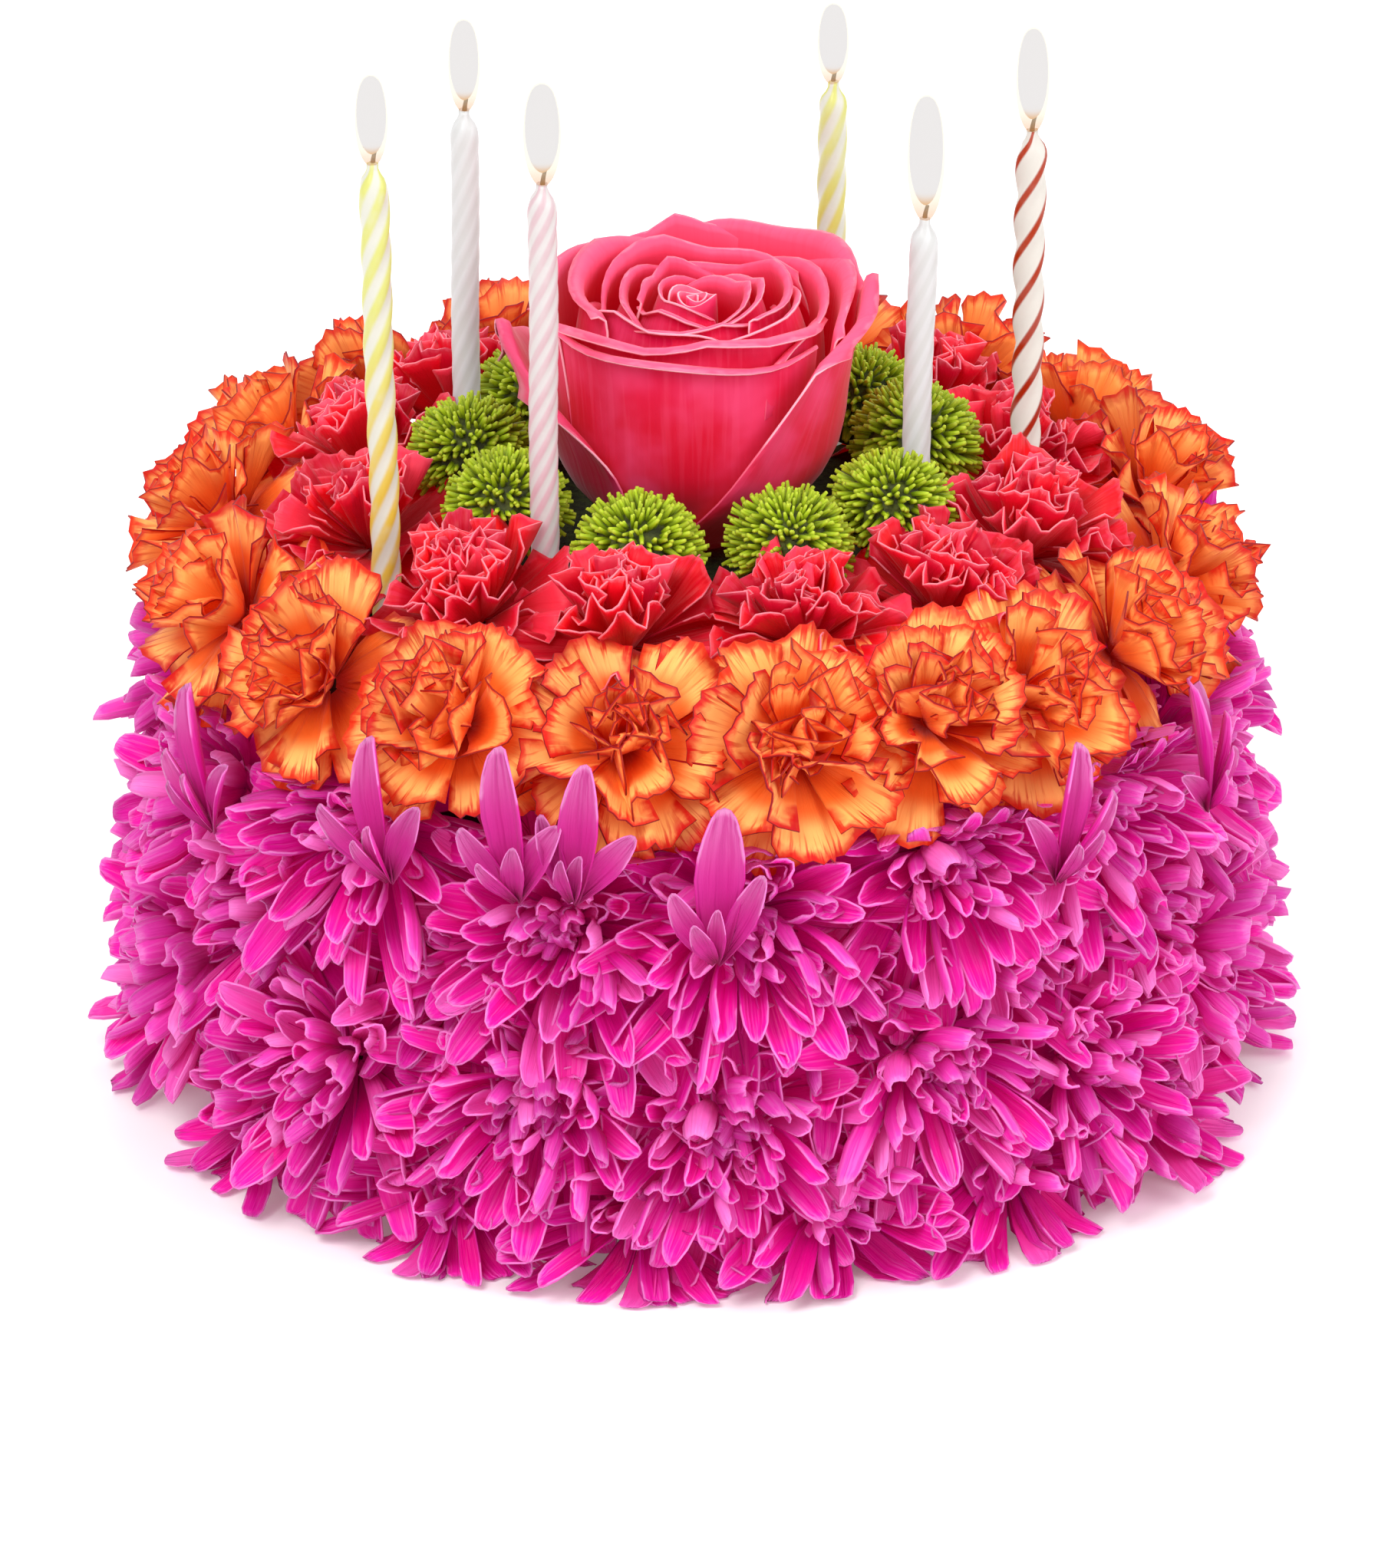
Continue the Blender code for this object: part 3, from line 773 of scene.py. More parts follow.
@dataclass(frozen=True)
class StrapPetal:
    """Long narrow petal of a mum: a bent, cupped strap with a rounded tip."""

    length: float
    width: float
    cup: float
    curl: float
    sway: float = 0.0
    taper: float = 0.6
    hook: float = 0.0
    close_from: float = 0.72
    tip_round: float = 0.05
    across: int = 4
    along: int = 5
    thickness: float = 0.34 * MM

    def build(self, name: str) -> bpy.types.Object:
        """Build the petal with its root at the origin and its tip towards +Y.

        Args:
            name: Name of the petal.

        Returns:
            The petal.
        """
        bend = math.radians(self.curl)

        def shape(x: float, t: float) -> Vector:
            along = 1.0 - (1.0 - t) ** 1.5
            swell = 0.30 + 0.70 * math.sin(min(along / 0.7, 1.0) * math.pi / 2.0)
            close = max(0.0, (along - self.close_from) / (1.0 - self.close_from))
            half = self.width / 2.0 * swell * max(0.0, 1.0 - 0.66 * close * close) ** self.taper
            along -= self.tip_round * close * close * x * x
            heading = bend * along
            if abs(bend) < 1e-4:
                out, rise = self.length * along, 0.0
            else:
                out = self.length * math.sin(heading) / bend
                rise = self.length * (1.0 - math.cos(heading)) / bend
            rise += self.hook * self.length * max(0.0, along - 0.65) ** 2
            lift = half * (self.cup * (0.6 + 0.6 * along) * x * x - 0.10 * math.cos(3.0 * math.pi * x))
            return Vector((
                half * x * (1.0 - 0.2 * self.cup * x * x) + self.sway * self.length * along * along,
                out - math.sin(heading) * lift,
                rise + math.cos(heading) * lift,
            ))

        return thicken(sheet(name, self.across, self.along, shape), self.thickness)


@dataclass(frozen=True)
class FanPetal:
    """Broad petal of a carnation: a narrow claw that opens into a ruffled fan with a toothed margin."""

    length: float
    width: float
    ruffle: float
    waves: float
    phase: float
    curl: float
    cup: float = 0.1
    tooth: float = 0.4 * MM
    across: int = 12
    along: int = 4
    thickness: float = 0.3 * MM

    def build(self, name: str) -> bpy.types.Object:
        """Build the petal with its root at the origin and its margin towards +Y.

        Args:
            name: Name of the petal.

        Returns:
            The petal.
        """
        bend = math.radians(self.curl)

        def shape(x: float, t: float) -> Vector:
            along = 1.0 - (1.0 - t) ** 1.25
            half = self.width / 2.0 * (0.10 + 0.90 * along ** 0.75)
            edge = along * along
            notch = self.tooth * math.cos(self.across * math.pi * (x + 1.0) / 2.0) * t ** 6
            reach = self.length * along * (1.0 - 0.30 * x * x * along) + notch
            heading = bend * along
            wave = math.sin(self.waves * math.pi * x + self.phase)
            wave += 0.4 * math.sin(1.7 * self.waves * math.pi * x - 1.7 * self.phase)
            lift = self.ruffle * edge * wave + self.cup * half * x * x
            return Vector((
                half * x * (1.0 - 0.12 * edge * math.cos(self.phase + 4.0 * x)),
                reach * math.cos(heading * 0.5) - math.sin(heading) * lift,
                reach * math.sin(heading * 0.5) + math.cos(heading) * lift,
            ))

        return thicken(sheet(name, self.across, self.along, shape), self.thickness)


# ---------------------------------------------------------------------------------------------------
# Blooms
# ---------------------------------------------------------------------------------------------------


class Bloom(ABC):
    """A kind of bloom: grown once in a few variants, which are then copied onto the cake."""

    @abstractmethod
    def grow(self, name: str, seed: int) -> bpy.types.Object:
        """Grow one variant at the origin, facing +Z."""

    def plant(self, name: str, variant: bpy.types.Object, place: Matrix) -> bpy.types.Object:
        """Copy a variant to its place on the cake.

        Args:
            name: Name of the bloom.
            variant: Grown variant to copy.
            place: Where it goes.

        Returns:
            The planted bloom.
        """
        mesh = variant.data.copy()
        mesh.transform(place)
        mesh.name = name
        obj = bpy.data.objects.new(name, mesh)
        bpy.context.scene.collection.objects.link(obj)
        return obj


@dataclass
class Mum(Bloom):
    """Cushion mum: straps spiralling in from a drooping skirt to a closed, incurved middle."""

    petals: int = 114
    root_radius: float = 5.0 * MM
    lengths: tuple[tuple[float, float], ...] = (
        (0.0, 26.5 * MM), (0.3, 26.0 * MM), (0.5, 23.0 * MM), (0.7, 17.5 * MM), (0.88, 11.0 * MM), (1.0, 7.0 * MM),
    )
    widths: tuple[tuple[float, float], ...] = (
        (0.0, 7.4 * MM), (0.4, 6.4 * MM), (0.7, 5.2 * MM), (0.9, 3.8 * MM), (1.0, 2.6 * MM),
    )
    rises: tuple[tuple[float, float], ...] = (
        (0.0, -18.0), (0.2, -2.0), (0.4, 14.0), (0.6, 30.0), (0.8, 48.0), (1.0, 76.0),
    )
    curls: tuple[tuple[float, float], ...] = (
        (0.0, -18.0), (0.25, -4.0), (0.5, 14.0), (0.75, 34.0), (0.9, 54.0), (1.0, 70.0),
    )
    cups: tuple[tuple[float, float], ...] = ((0.0, 0.35), (0.4, 0.65), (1.0, 1.0))
    tapers: tuple[tuple[float, float], ...] = ((0.0, 0.62), (0.3, 0.5), (1.0, 0.4))
    unruly: float = 13.0
    hook: float = 0.7
    pit_from: float = 0.86
    along: int = 5
    tiers: int = 6
    cuts: int = 4

    def grow(self, name: str, seed: int) -> bpy.types.Object:
        """Grow one mum.

        Args:
            name: Name of the variant.
            seed: Seed of its unevenness.

        Returns:
            The variant.
        """
        rng = random.Random(seed)
        patterns = []
        for tier in range(self.tiers):
            share = (tier + 0.5) / self.tiers
            patterns.append([
                StrapPetal(
                    blend_stops(share, self.lengths), blend_stops(share, self.widths) * rng.uniform(0.85, 1.12),
                    blend_stops(share, self.cups), blend_stops(share, self.curls) + rng.uniform(-16.0, 16.0),
                    rng.uniform(-0.14, 0.14), blend_stops(share, self.tapers), self.hook * rng.uniform(0.2, 1.6),
                    along=self.along,
                ).build(f"strap_{tier}_{cut}")
                for cut in range(self.cuts)
            ])
        loose = []
        for number in range(self.petals):
            share = (number + 0.5) / self.petals
            tier = min(self.tiers - 1, int(share * self.tiers))
            pattern = patterns[tier][rng.randrange(self.cuts)]
            root = self.root_radius * (1.0 - share) + 0.4 * MM
            stretch = blend_stops(share, self.lengths) / blend_stops((tier + 0.5) / self.tiers, self.lengths)
            stretch *= rng.uniform(0.86, 1.12)
            place = (
                Matrix.Rotation(number * GOLDEN_ANGLE + rng.uniform(-0.12, 0.12), 4, "Z")
                @ Matrix.Translation((0.0, root, 3.0 * MM * share))
                @ Matrix.Rotation(math.radians(blend_stops(share, self.rises) + rng.gauss(0.0, self.unruly)), 4, "X")
                @ Matrix.Rotation(rng.gauss(0.0, 0.45), 4, "Y")
                @ Matrix.Diagonal((1.0, stretch, 1.0, 1.0))
            )
            tone = rng.random() * (0.2 if share > self.pit_from else 1.0)
            loose.append(copy_of(pattern, "strap", place, tone))
        discard([obj for tier in patterns for obj in tier])
        finishes = [MUM_FACE.material(), MUM_BACK.material(), MUM_RIM.material()]
        return bunch(name, loose, finishes)


@dataclass
class Carnation(Bloom):
    """Spray carnation: broad guard petals round a crumpled heart."""

    finishes: tuple[PetalFinish, PetalFinish, PetalFinish]
    petals: int
    lengths: tuple[tuple[float, float], ...]
    widths: tuple[tuple[float, float], ...]
    ruffles: tuple[tuple[float, float], ...]
    rises: tuple[tuple[float, float], ...] = ((0.0, -12.0), (0.25, 8.0), (0.5, 34.0), (0.75, 58.0), (1.0, 80.0))
    waves: tuple[float, float] = (1.3, 2.4)
    unruly: float = 10.0
    tooth: float = 0.4 * MM
    across: int = 12
    along: int = 4
    curls: tuple[tuple[float, float], ...] = ((0.0, -30.0), (0.5, 0.0), (1.0, 40.0))
    cups: tuple[tuple[float, float], ...] = ((0.0, 0.05), (0.5, 0.3), (1.0, 0.6))
    root_radius: float = 2.0 * MM
    root_rise: float = 4.0 * MM
    tiers: int = 4
    cuts: int = 4

    def grow(self, name: str, seed: int) -> bpy.types.Object:
        """Grow one carnation.

        Args:
            name: Name of the variant.
            seed: Seed of its unevenness.

        Returns:
            The variant.
        """
        rng = random.Random(seed)
        patterns = []
        for tier in range(self.tiers):
            share = (tier + 0.5) / self.tiers
            patterns.append([
                FanPetal(
                    blend_stops(share, self.lengths), blend_stops(share, self.widths) * rng.uniform(0.88, 1.12),
                    blend_stops(share, self.ruffles), rng.uniform(*self.waves), rng.uniform(0.0, math.tau),
                    blend_stops(share, self.curls) + rng.uniform(-18.0, 18.0), blend_stops(share, self.cups),
                    self.tooth, self.across, self.along,
                ).build(f"fan_{tier}_{cut}")
                for cut in range(self.cuts)
            ])
        loose = []
        for number in range(self.petals):
            share = (number + 0.5) / self.petals
            tier = min(self.tiers - 1, int(share * self.tiers))
            pattern = patterns[tier][rng.randrange(self.cuts)]
            place = (
                Matrix.Rotation(number * GOLDEN_ANGLE + rng.uniform(-0.2, 0.2), 4, "Z")
                @ Matrix.Translation((0.0, self.root_radius * (1.0 - 0.6 * share), self.root_rise * share))
                @ Matrix.Rotation(math.radians(blend_stops(share, self.rises) + rng.gauss(0.0, self.unruly)), 4, "X")
                @ Matrix.Rotation(rng.gauss(0.0, 0.3) * (0.5 + share), 4, "Y")
                @ Matrix.Scale(rng.uniform(0.92, 1.08), 4)
            )
            loose.append(copy_of(pattern, "fan", place, rng.random()))
        discard([obj for tier in patterns for obj in tier])
        return bunch(name, loose, [finish.material() for finish in self.finishes])


@dataclass
class Pom(Bloom):
    """Green button pom: short tubes packed over a dome."""

    florets: int = 430
    radius: float = 11.6 * MM
    height: float = 11.4 * MM
    depth: float = 7.0 * MM
    floret_radius: float = 0.62 * MM
    splay: float = 0.25
    opening: float = 112.0
    sides: int = 5

    def floret(self, bend: float) -> bpy.types.Object:
        """Model one tube: a cone swollen and bent towards its tip.

        Args:
            bend: Sideways bend at the tip, as a share of its length.

        Returns:
            The tube, root at the origin, tip towards +Z.
        """
        bpy.ops.object.select_all(action="DESELECT")
        bpy.ops.mesh.primitive_cone_add(
            vertices=self.sides, radius1=self.floret_radius * 0.8, radius2=self.floret_radius * 0.55,
            depth=self.depth, location=(0.0, 0.0, self.depth / 2.0),
        )
        obj = bpy.context.object
        bpy.ops.object.transform_apply(location=True, rotation=True, scale=True)
        bpy.ops.object.mode_set(mode="EDIT")
        bpy.ops.mesh.select_all(action="SELECT")
        bpy.ops.mesh.bisect(plane_co=(0.0, 0.0, self.depth * 0.68), plane_no=(0.0, 0.0, 1.0))
        bpy.ops.object.mode_set(mode="OBJECT")
        mesh = obj.data
        for vert in mesh.vertices:
            if 0.3 < vert.co.z / self.depth < 0.8:
                vert.co.x *= 1.35
                vert.co.y *= 1.35
        layer = mesh.uv_layers[PETAL_UV]
        for loop in mesh.loops:
            point = mesh.vertices[loop.vertex_index].co
            share = min(1.0, point.z / self.depth)
            layer.data[loop.index].uv = (0.5 + 0.2 * math.atan2(point.y, point.x) / math.pi, share)
        for vert in mesh.vertices:
            share = max(0.0, vert.co.z / self.depth)
            vert.co.y += bend * self.depth * share * share
        mesh.polygons.foreach_set("use_smooth", [True] * len(mesh.polygons))
        return obj

    def grow(self, name: str, seed: int) -> bpy.types.Object:
        """Grow one pom.

        Args:
            name: Name of the variant.
            seed: Seed of its unevenness.

        Returns:
            The variant.
        """
        rng = random.Random(seed)
        patterns = [self.floret(bend) for bend in (-0.16, -0.04, 0.14)]
        loose = []
        low = math.cos(math.radians(self.opening))
        for number in range(self.florets):
            level = 1.0 - ((number + 0.5) / self.florets) ** 1.12 * (1.0 - low)
            theta = math.acos(level)
            turn = number * GOLDEN_ANGLE
            normal = Vector((
                math.sin(theta) * math.cos(turn) / self.radius,
                math.sin(theta) * math.sin(turn) / self.radius,
                math.cos(theta) / self.height,
            )).normalized()
            tip = Vector((
                self.radius * math.sin(theta) * math.cos(turn),
                self.radius * math.sin(theta) * math.sin(turn),
                self.height * math.cos(theta),
            ))
            heart = 1.0 - math.exp(-((theta / 0.55) ** 2))
            tip *= 1.0 + rng.uniform(-0.09, 0.05) - 0.07 * (1.0 - heart)
            lean = Vector((rng.gauss(0.0, 0.12), rng.gauss(0.0, 0.12), rng.gauss(0.0, 0.12)))
            lean += Vector((math.cos(turn), math.sin(turn), -0.4)) * self.splay * math.sin(min(theta, 1.57))
            aimed = (normal + lean).normalized()
            aim = UP.rotation_difference(aimed).to_matrix().to_4x4()
            size = (0.66 + 0.4 * heart) * rng.uniform(0.85, 1.1)
            place = (
                Matrix.Translation(tip - aimed * self.depth)
                @ aim
                @ Matrix.Rotation(rng.uniform(0.0, math.tau), 4, "Z")
                @ Matrix.Diagonal((size, size, 1.0, 1.0))
            )
            loose.append(copy_of(patterns[rng.randrange(3)], "floret", place, rng.random()))
        discard(patterns)
        bpy.ops.object.select_all(action="DESELECT")
        bpy.ops.mesh.primitive_uv_sphere_add(segments=20, ring_count=12, radius=1.0)
        heart_piece = bpy.context.object
        heart_piece.data.transform(
            Matrix.Diagonal((self.radius * 0.74, self.radius * 0.74, self.height * 0.72, 1.0))
        )
        set_tone(heart_piece.data, 0.5)
        heart_piece.data.polygons.foreach_set("material_index", [1] * len(heart_piece.data.polygons))
        loose.append(heart_piece)
        return bunch(name, loose, [POM_SKIN.material(), POM_HEART.material()])


@dataclass(frozen=True)
class RosePetal:
    """Cupped petal of a rose, wrapped round its axis, with a rolled lip.

    Turn and span are azimuths in degrees. A taper below 1 draws the sides together towards the tip, a
    slant lifts one end of the lip, and a drop lets both its ends fall.
    """

    turn: float
    span: float
    belly: float
    rim: float
    top: float
    foot: float = 9.0 * MM
    base: float = 104.0 * MM
    lip: float = 1.8 * MM
    roll: float = 120.0
    taper: float = 0.9
    straight: bool = False
    drop: float = 2.0 * MM
    slant: float = 0.0
    point: float = 0.0
    tuck: float = 0.08
    wave: float = 0.4 * MM
    phase: float = 0.0
    across: int = 18
    along: int = 15
    thickness: float = 0.4 * MM

    def build(self) -> bpy.types.Object:
        """Build the petal round the Z axis.

        Returns:
            The petal.
        """
        lip_from = 0.8
        side_from = 0.84

        def shape(x: float, t: float) -> Vector:
            if self.straight:
                spread = 1.0 - (1.0 - self.taper) * t
            else:
                spread = 1.0 - (1.0 - self.taper) * max(0.0, (t - 0.4) / 0.6) ** 2
            turn = self.turn + x * self.span / 2.0 * spread
            crest = self.top - self.drop * abs(x) ** 2.5 + self.slant * x
            crest += self.point * max(0.0, 1.0 - abs(x) * 3.0)
            crest += self.wave * math.sin(6.0 * x + self.phase)
            climb = min(t / lip_from, 1.0)
            radius = self.foot + (self.belly - self.foot) * math.sin(min(climb / 0.5, 1.0) * math.pi / 2.0)
            radius += (self.rim - self.belly) * max(0.0, (climb - 0.4) / 0.6) ** 1.5
            radius *= 1.0 - self.tuck * (x + 1.0) / 2.0
            height = self.base + (crest - self.base) * climb
            if t > lip_from:
                curl = (t - lip_from) / (1.0 - lip_from) * math.radians(self.roll)
                lip = self.lip * (1.0 - 0.5 * abs(x) ** 3) * (1.0 + 0.25 * math.sin(4.0 * x + 2.0 * self.phase))
                radius += lip * (1.0 - math.cos(curl))
                height += lip * math.sin(curl)
            side = max(0.0, (abs(x) - side_from) / (1.0 - side_from))
            radius += self.lip * 0.7 * side * side * climb
            radius += self.wave * math.sin(4.0 * x + self.phase) * climb
            return polar(turn, radius, height)

        return thicken(sheet("rose_petal", self.across, self.along, shape), self.thickness)


@dataclass
class Rose(Bloom):
    """The rose in the middle: open outer petals round nested whorls and a rolled bud."""

    foot_height: float = 104.0 * MM
    whorl_base: float = 128.0 * MM
    back_rise: float = 0.08
    heart_shift: float = 1.2 * MM
    outer_tones: tuple[float, ...] = (-0.3, 0.55, 0.6, 0.15, 0.6, 0.65, 0.7)

    def outer(self) -> list[RosePetal]:
        """List the outer petals, each with its own stance.

        Returns:
            The petals.
        """
        return [
            RosePetal(-86.0, 112.0, 26.0 * MM, 33.5 * MM, 141.0 * MM, lip=1.4 * MM, roll=120.0, taper=0.25,
                      drop=8.0 * MM, point=2.5 * MM, phase=1.0),
            RosePetal(-24.0, 168.0, 25.0 * MM, 27.4 * MM, 146.0 * MM, lip=1.0 * MM, roll=150.0, taper=0.95,
                      drop=-1.2 * MM, slant=-2.4 * MM, wave=0.7 * MM, phase=0.4),
            RosePetal(86.0, 204.0, 26.4 * MM, 29.6 * MM, 147.6 * MM, lip=1.7 * MM, roll=120.0, taper=0.26,
                      straight=True, drop=5.0 * MM, point=4.5 * MM, tuck=0.0, wave=0.6 * MM, phase=2.0),
            RosePetal(-122.0, 120.0, 25.4 * MM, 27.6 * MM, 148.6 * MM, lip=1.6 * MM, roll=110.0,
                      slant=1.2 * MM, wave=0.7 * MM, phase=3.0),
            RosePetal(-172.0, 96.0, 25.0 * MM, 26.0 * MM, 150.6 * MM, lip=1.3 * MM, roll=70.0, taper=0.7,
                      drop=3.0 * MM, point=2.4 * MM, phase=4.0),
            RosePetal(146.0, 104.0, 25.6 * MM, 27.6 * MM, 151.4 * MM, lip=1.8 * MM, roll=120.0,
                      drop=4.0 * MM, slant=-0.8 * MM, wave=0.5 * MM, phase=5.0),
            RosePetal(104.0, 90.0, 24.8 * MM, 27.2 * MM, 149.4 * MM, lip=1.6 * MM, roll=110.0,
                      drop=4.0 * MM, wave=0.5 * MM, phase=0.7),
        ]

    def whorls(self) -> list[tuple[int, float, float, float, float, float, float]]:
        """List the inner whorls from the outside in.

        Returns:
            Petals, span, belly radius, rim radius, top, lip and roll of each whorl.
        """
        return [
            (3, 168.0, 24.6 * MM, 23.4 * MM, 148.2 * MM, 1.5 * MM, 125.0),
            (3, 172.0, 22.6 * MM, 19.6 * MM, 148.4 * MM, 1.4 * MM, 115.0),
            (3, 176.0, 19.2 * MM, 15.4 * MM, 148.6 * MM, 1.2 * MM, 105.0),
            (3, 180.0, 15.4 * MM, 11.4 * MM, 148.8 * MM, 1.0 * MM, 95.0),
            (2, 240.0, 11.6 * MM, 7.8 * MM, 148.8 * MM, 0.8 * MM, 80.0),
        ]

    def grow(self, name: str, seed: int) -> bpy.types.Object:
        """Grow the rose.

        Args:
            name: Name of the rose.
            seed: Seed of its unevenness.

        Returns:
            The rose, in its place.
        """
        rng = random.Random(seed)
        loose = [petal.build() for petal in self.outer()]
        for ring, (count, span, belly, rim, top, lip, roll) in enumerate(self.whorls()):
            for number in range(count):
                turn = 360.0 * number / count + 67.0 * ring + rng.uniform(-16.0, 16.0)
                lift = top - self.back_rise * rim * math.cos(math.radians(turn))
                petal = RosePetal(
                    turn, span * rng.uniform(0.86, 1.08), belly, rim * rng.uniform(0.95, 1.07),
                    lift + rng.uniform(-0.9, 0.9) * MM, foot=belly * 0.7, base=self.whorl_base,
                    lip=lip * rng.uniform(0.6, 1.35), roll=roll * rng.uniform(0.6, 1.2), tuck=0.17,
                    drop=rng.uniform(1.2, 4.0) * MM, slant=rng.uniform(-1.6, 1.6) * MM,
                    point=rng.uniform(0.0, 2.2) * MM, wave=rng.uniform(0.3, 0.8) * MM,
                    phase=rng.uniform(0.0, math.tau), along=12,
                ).build()
                shift = polar(rng.uniform(0.0, 360.0), rng.uniform(0.0, 0.8) * MM, 0.0)
                shift.x += self.heart_shift * (1.0 - rim / (28.0 * MM))
                petal.data.transform(Matrix.Translation(shift))
                loose.append(petal)
        for number, petal in enumerate(loose):
            set_tone(petal.data, self.outer_tones[number] if number < len(self.outer_tones) else rng.uniform(0.1, 0.6))
        loose.append(self.bud())
        return bunch(name, loose, [ROSE_OUTSIDE.material(), ROSE_INSIDE.material(), ROSE_RIM.material()])

    def bud(self) -> bpy.types.Object:
        """Roll the innermost petals into a bud.

        Returns:
            The bud.
        """

        def shape(x: float, t: float) -> Vector:
            share = (x + 1.0) / 2.0
            angle = share * math.radians(900.0)
            radius = (0.7 + 4.0 * share) * MM * (1.25 - 0.25 * t)
            top = 149.0 * MM + 1.0 * MM * math.sin(2.2 * angle) * share
            height = self.whorl_base + (top - self.whorl_base) * t
            return Vector((radius * math.cos(angle), radius * math.sin(angle), height))

        bud = thicken(sheet("rose_bud", 60, 10, shape), 0.35 * MM)
        set_tone(bud.data, 0.4)
        return bud


# ---------------------------------------------------------------------------------------------------
# Candles
# ---------------------------------------------------------------------------------------------------


@dataclass
class Candle:
    """Twisted birthday candle with its wick and flame, on the frame's candle and flame nodes."""

    name: str
    slot: str
    finish: StripeFinish
    ribs: int = 4
    pitch: float = 25.0 * MM
    lean: float = 0.0
    rib_depth: float = 0.16 * MM
    radius: float = 2.5 * MM
    shoulder: float = 3.6 * MM
    neck: float = 0.95 * MM
    neck_height: float = 1.5 * MM
    wick_length: float = 0.8 * MM
    wick_in_flame: float = 2.5 * MM
    flame_spread: float = 1.36
    flame_above: float = 0.8 * MM
    flame_below: float = 1.7 * MM
    points_round: int = 40
    row_height: float = 0.9 * MM

    def axis(self) -> tuple[Vector, Vector]:
        """Give the foot and the top of the wax."""
        low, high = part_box(f"candle_{self.name}")
        half = (high.x - low.x - abs(self.lean)) / 2.0
        foot_x = low.x + half if self.lean >= 0.0 else high.x - half
        middle_y = (low.y + high.y) / 2.0
        return Vector((foot_x, middle_y, low.z)), Vector((foot_x + self.lean, middle_y, high.z - self.wick_length))

    def wax(self) -> bpy.types.Object:
        """Screw a ribbed ring up into the twisted stick, melt its top round and close its ends.

        Returns:
            The wax.
        """
        foot, top = self.axis()
        length = (top - foot).length
        bpy.ops.object.select_all(action="DESELECT")
        bpy.ops.mesh.primitive_circle_add(vertices=self.points_round, radius=self.radius)
        obj = bpy.context.object
        obj.name = f"wax_{self.name}"
        for vert in obj.data.vertices:
            turn = math.atan2(vert.co.y, vert.co.x)
            vert.co *= 1.0 + self.rib_depth / self.radius * math.cos(self.ribs * turn)
        rows = int(length / self.row_height)
        turns = math.tau * length / self.pitch
        apply_modifier(
            obj, "SCREW", angle=turns, screw_offset=length, steps=rows, render_steps=rows, axis="Z",
            use_smooth_shade=True,
        )
        marks = []
        for vert in obj.data.vertices:
            turn = math.atan2(vert.co.y, vert.co.x) - turns * vert.co.z / length
            marks.append(0.5 + 0.5 * math.cos(self.ribs * turn))
        set_tone(obj.data, marks)
        for vert in obj.data.vertices:
            below = length - vert.co.z
            if below < self.neck_height + self.shoulder:
                melt = math.sqrt(max(0.0, 1.0 - (1.0 - max(0.0, below - self.neck_height) / self.shoulder) ** 2))
                narrow = math.hypot(self.neck / self.radius, melt * math.sqrt(1.0 - (self.neck / self.radius) ** 2))
                vert.co.x *= narrow
                vert.co.y *= narrow
            wobble = 0.10 * MM * math.sin(vert.co.z / (7.0 * MM) + self.ribs)
            vert.co.x += wobble
        self.close_ends(obj, length)
        obj.data.transform(Matrix.Translation(foot) @ UP.rotation_difference(top - foot).to_matrix().to_4x4())
        obj.data.materials.append(self.finish.material())
        return obj

    def close_ends(self, obj: bpy.types.Object, length: float) -> None:
        """Close both ends of the stick.

        Args:
            obj: The open stick, standing on the origin.
            length: Its length.
        """
        for end in (0.0, length):
            for vert in obj.data.vertices:
                vert.select = abs(vert.co.z - end) < 1e-6
            for edge in obj.data.edges:
                edge.select = all(obj.data.vertices[index].select for index in edge.vertices)
            for face in obj.data.polygons:
                face.select = False
            pick(obj)
            bpy.ops.object.mode_set(mode="EDIT")
            bpy.ops.mesh.select_mode(type="EDGE")
            bpy.ops.mesh.edge_face_add()
            bpy.ops.mesh.select_mode(type="FACE")
            bpy.ops.mesh.inset(thickness=self.neck * 0.3, depth=self.neck * 0.2)
            bpy.ops.mesh.select_all(action="SELECT")
            bpy.ops.mesh.normals_make_consistent(inside=False)
            bpy.ops.mesh.select_mode(type="VERT")
            bpy.ops.object.mode_set(mode="OBJECT")

    def wick(self) -> bpy.types.Object:
        """Bend a thin charred string out of the top.

        Returns:
            The wick.
        """
        _, top = self.axis()
        height = self.wick_length + self.wick_in_flame
        bpy.ops.object.select_all(action="DESELECT")
        bpy.ops.mesh.primitive_cylinder_add(vertices=10, radius=0.5 * MM, depth=height)
        obj = bpy.context.object
        obj.name = f"wick_{self.name}"
        bpy.ops.object.mode_set(mode="EDIT")
        for cut in range(1, 6):
            bpy.ops.mesh.select_all(action="SELECT")
            level = height * (cut / 6.0 - 0.5)
            bpy.ops.mesh.bisect(plane_co=(0.0, 0.0, level), plane_no=(0.0, 0.0, 1.0))
        bpy.ops.object.mode_set(mode="OBJECT")
        for vert in obj.data.vertices:
            share = vert.co.z / height + 0.5
            vert.co.x = vert.co.x * (1.0 - 0.35 * share) + 0.5 * MM * share * share
            vert.co.y = vert.co.y * (1.0 - 0.35 * share)
        obj.data.polygons.foreach_set("use_smooth", [True] * len(obj.data.polygons))
        obj.data.transform(Matrix.Translation(top + UP * (height / 2.0 - 0.9 * MM)))
        obj.data.materials.append(WICK_CHAR.material())
        return obj

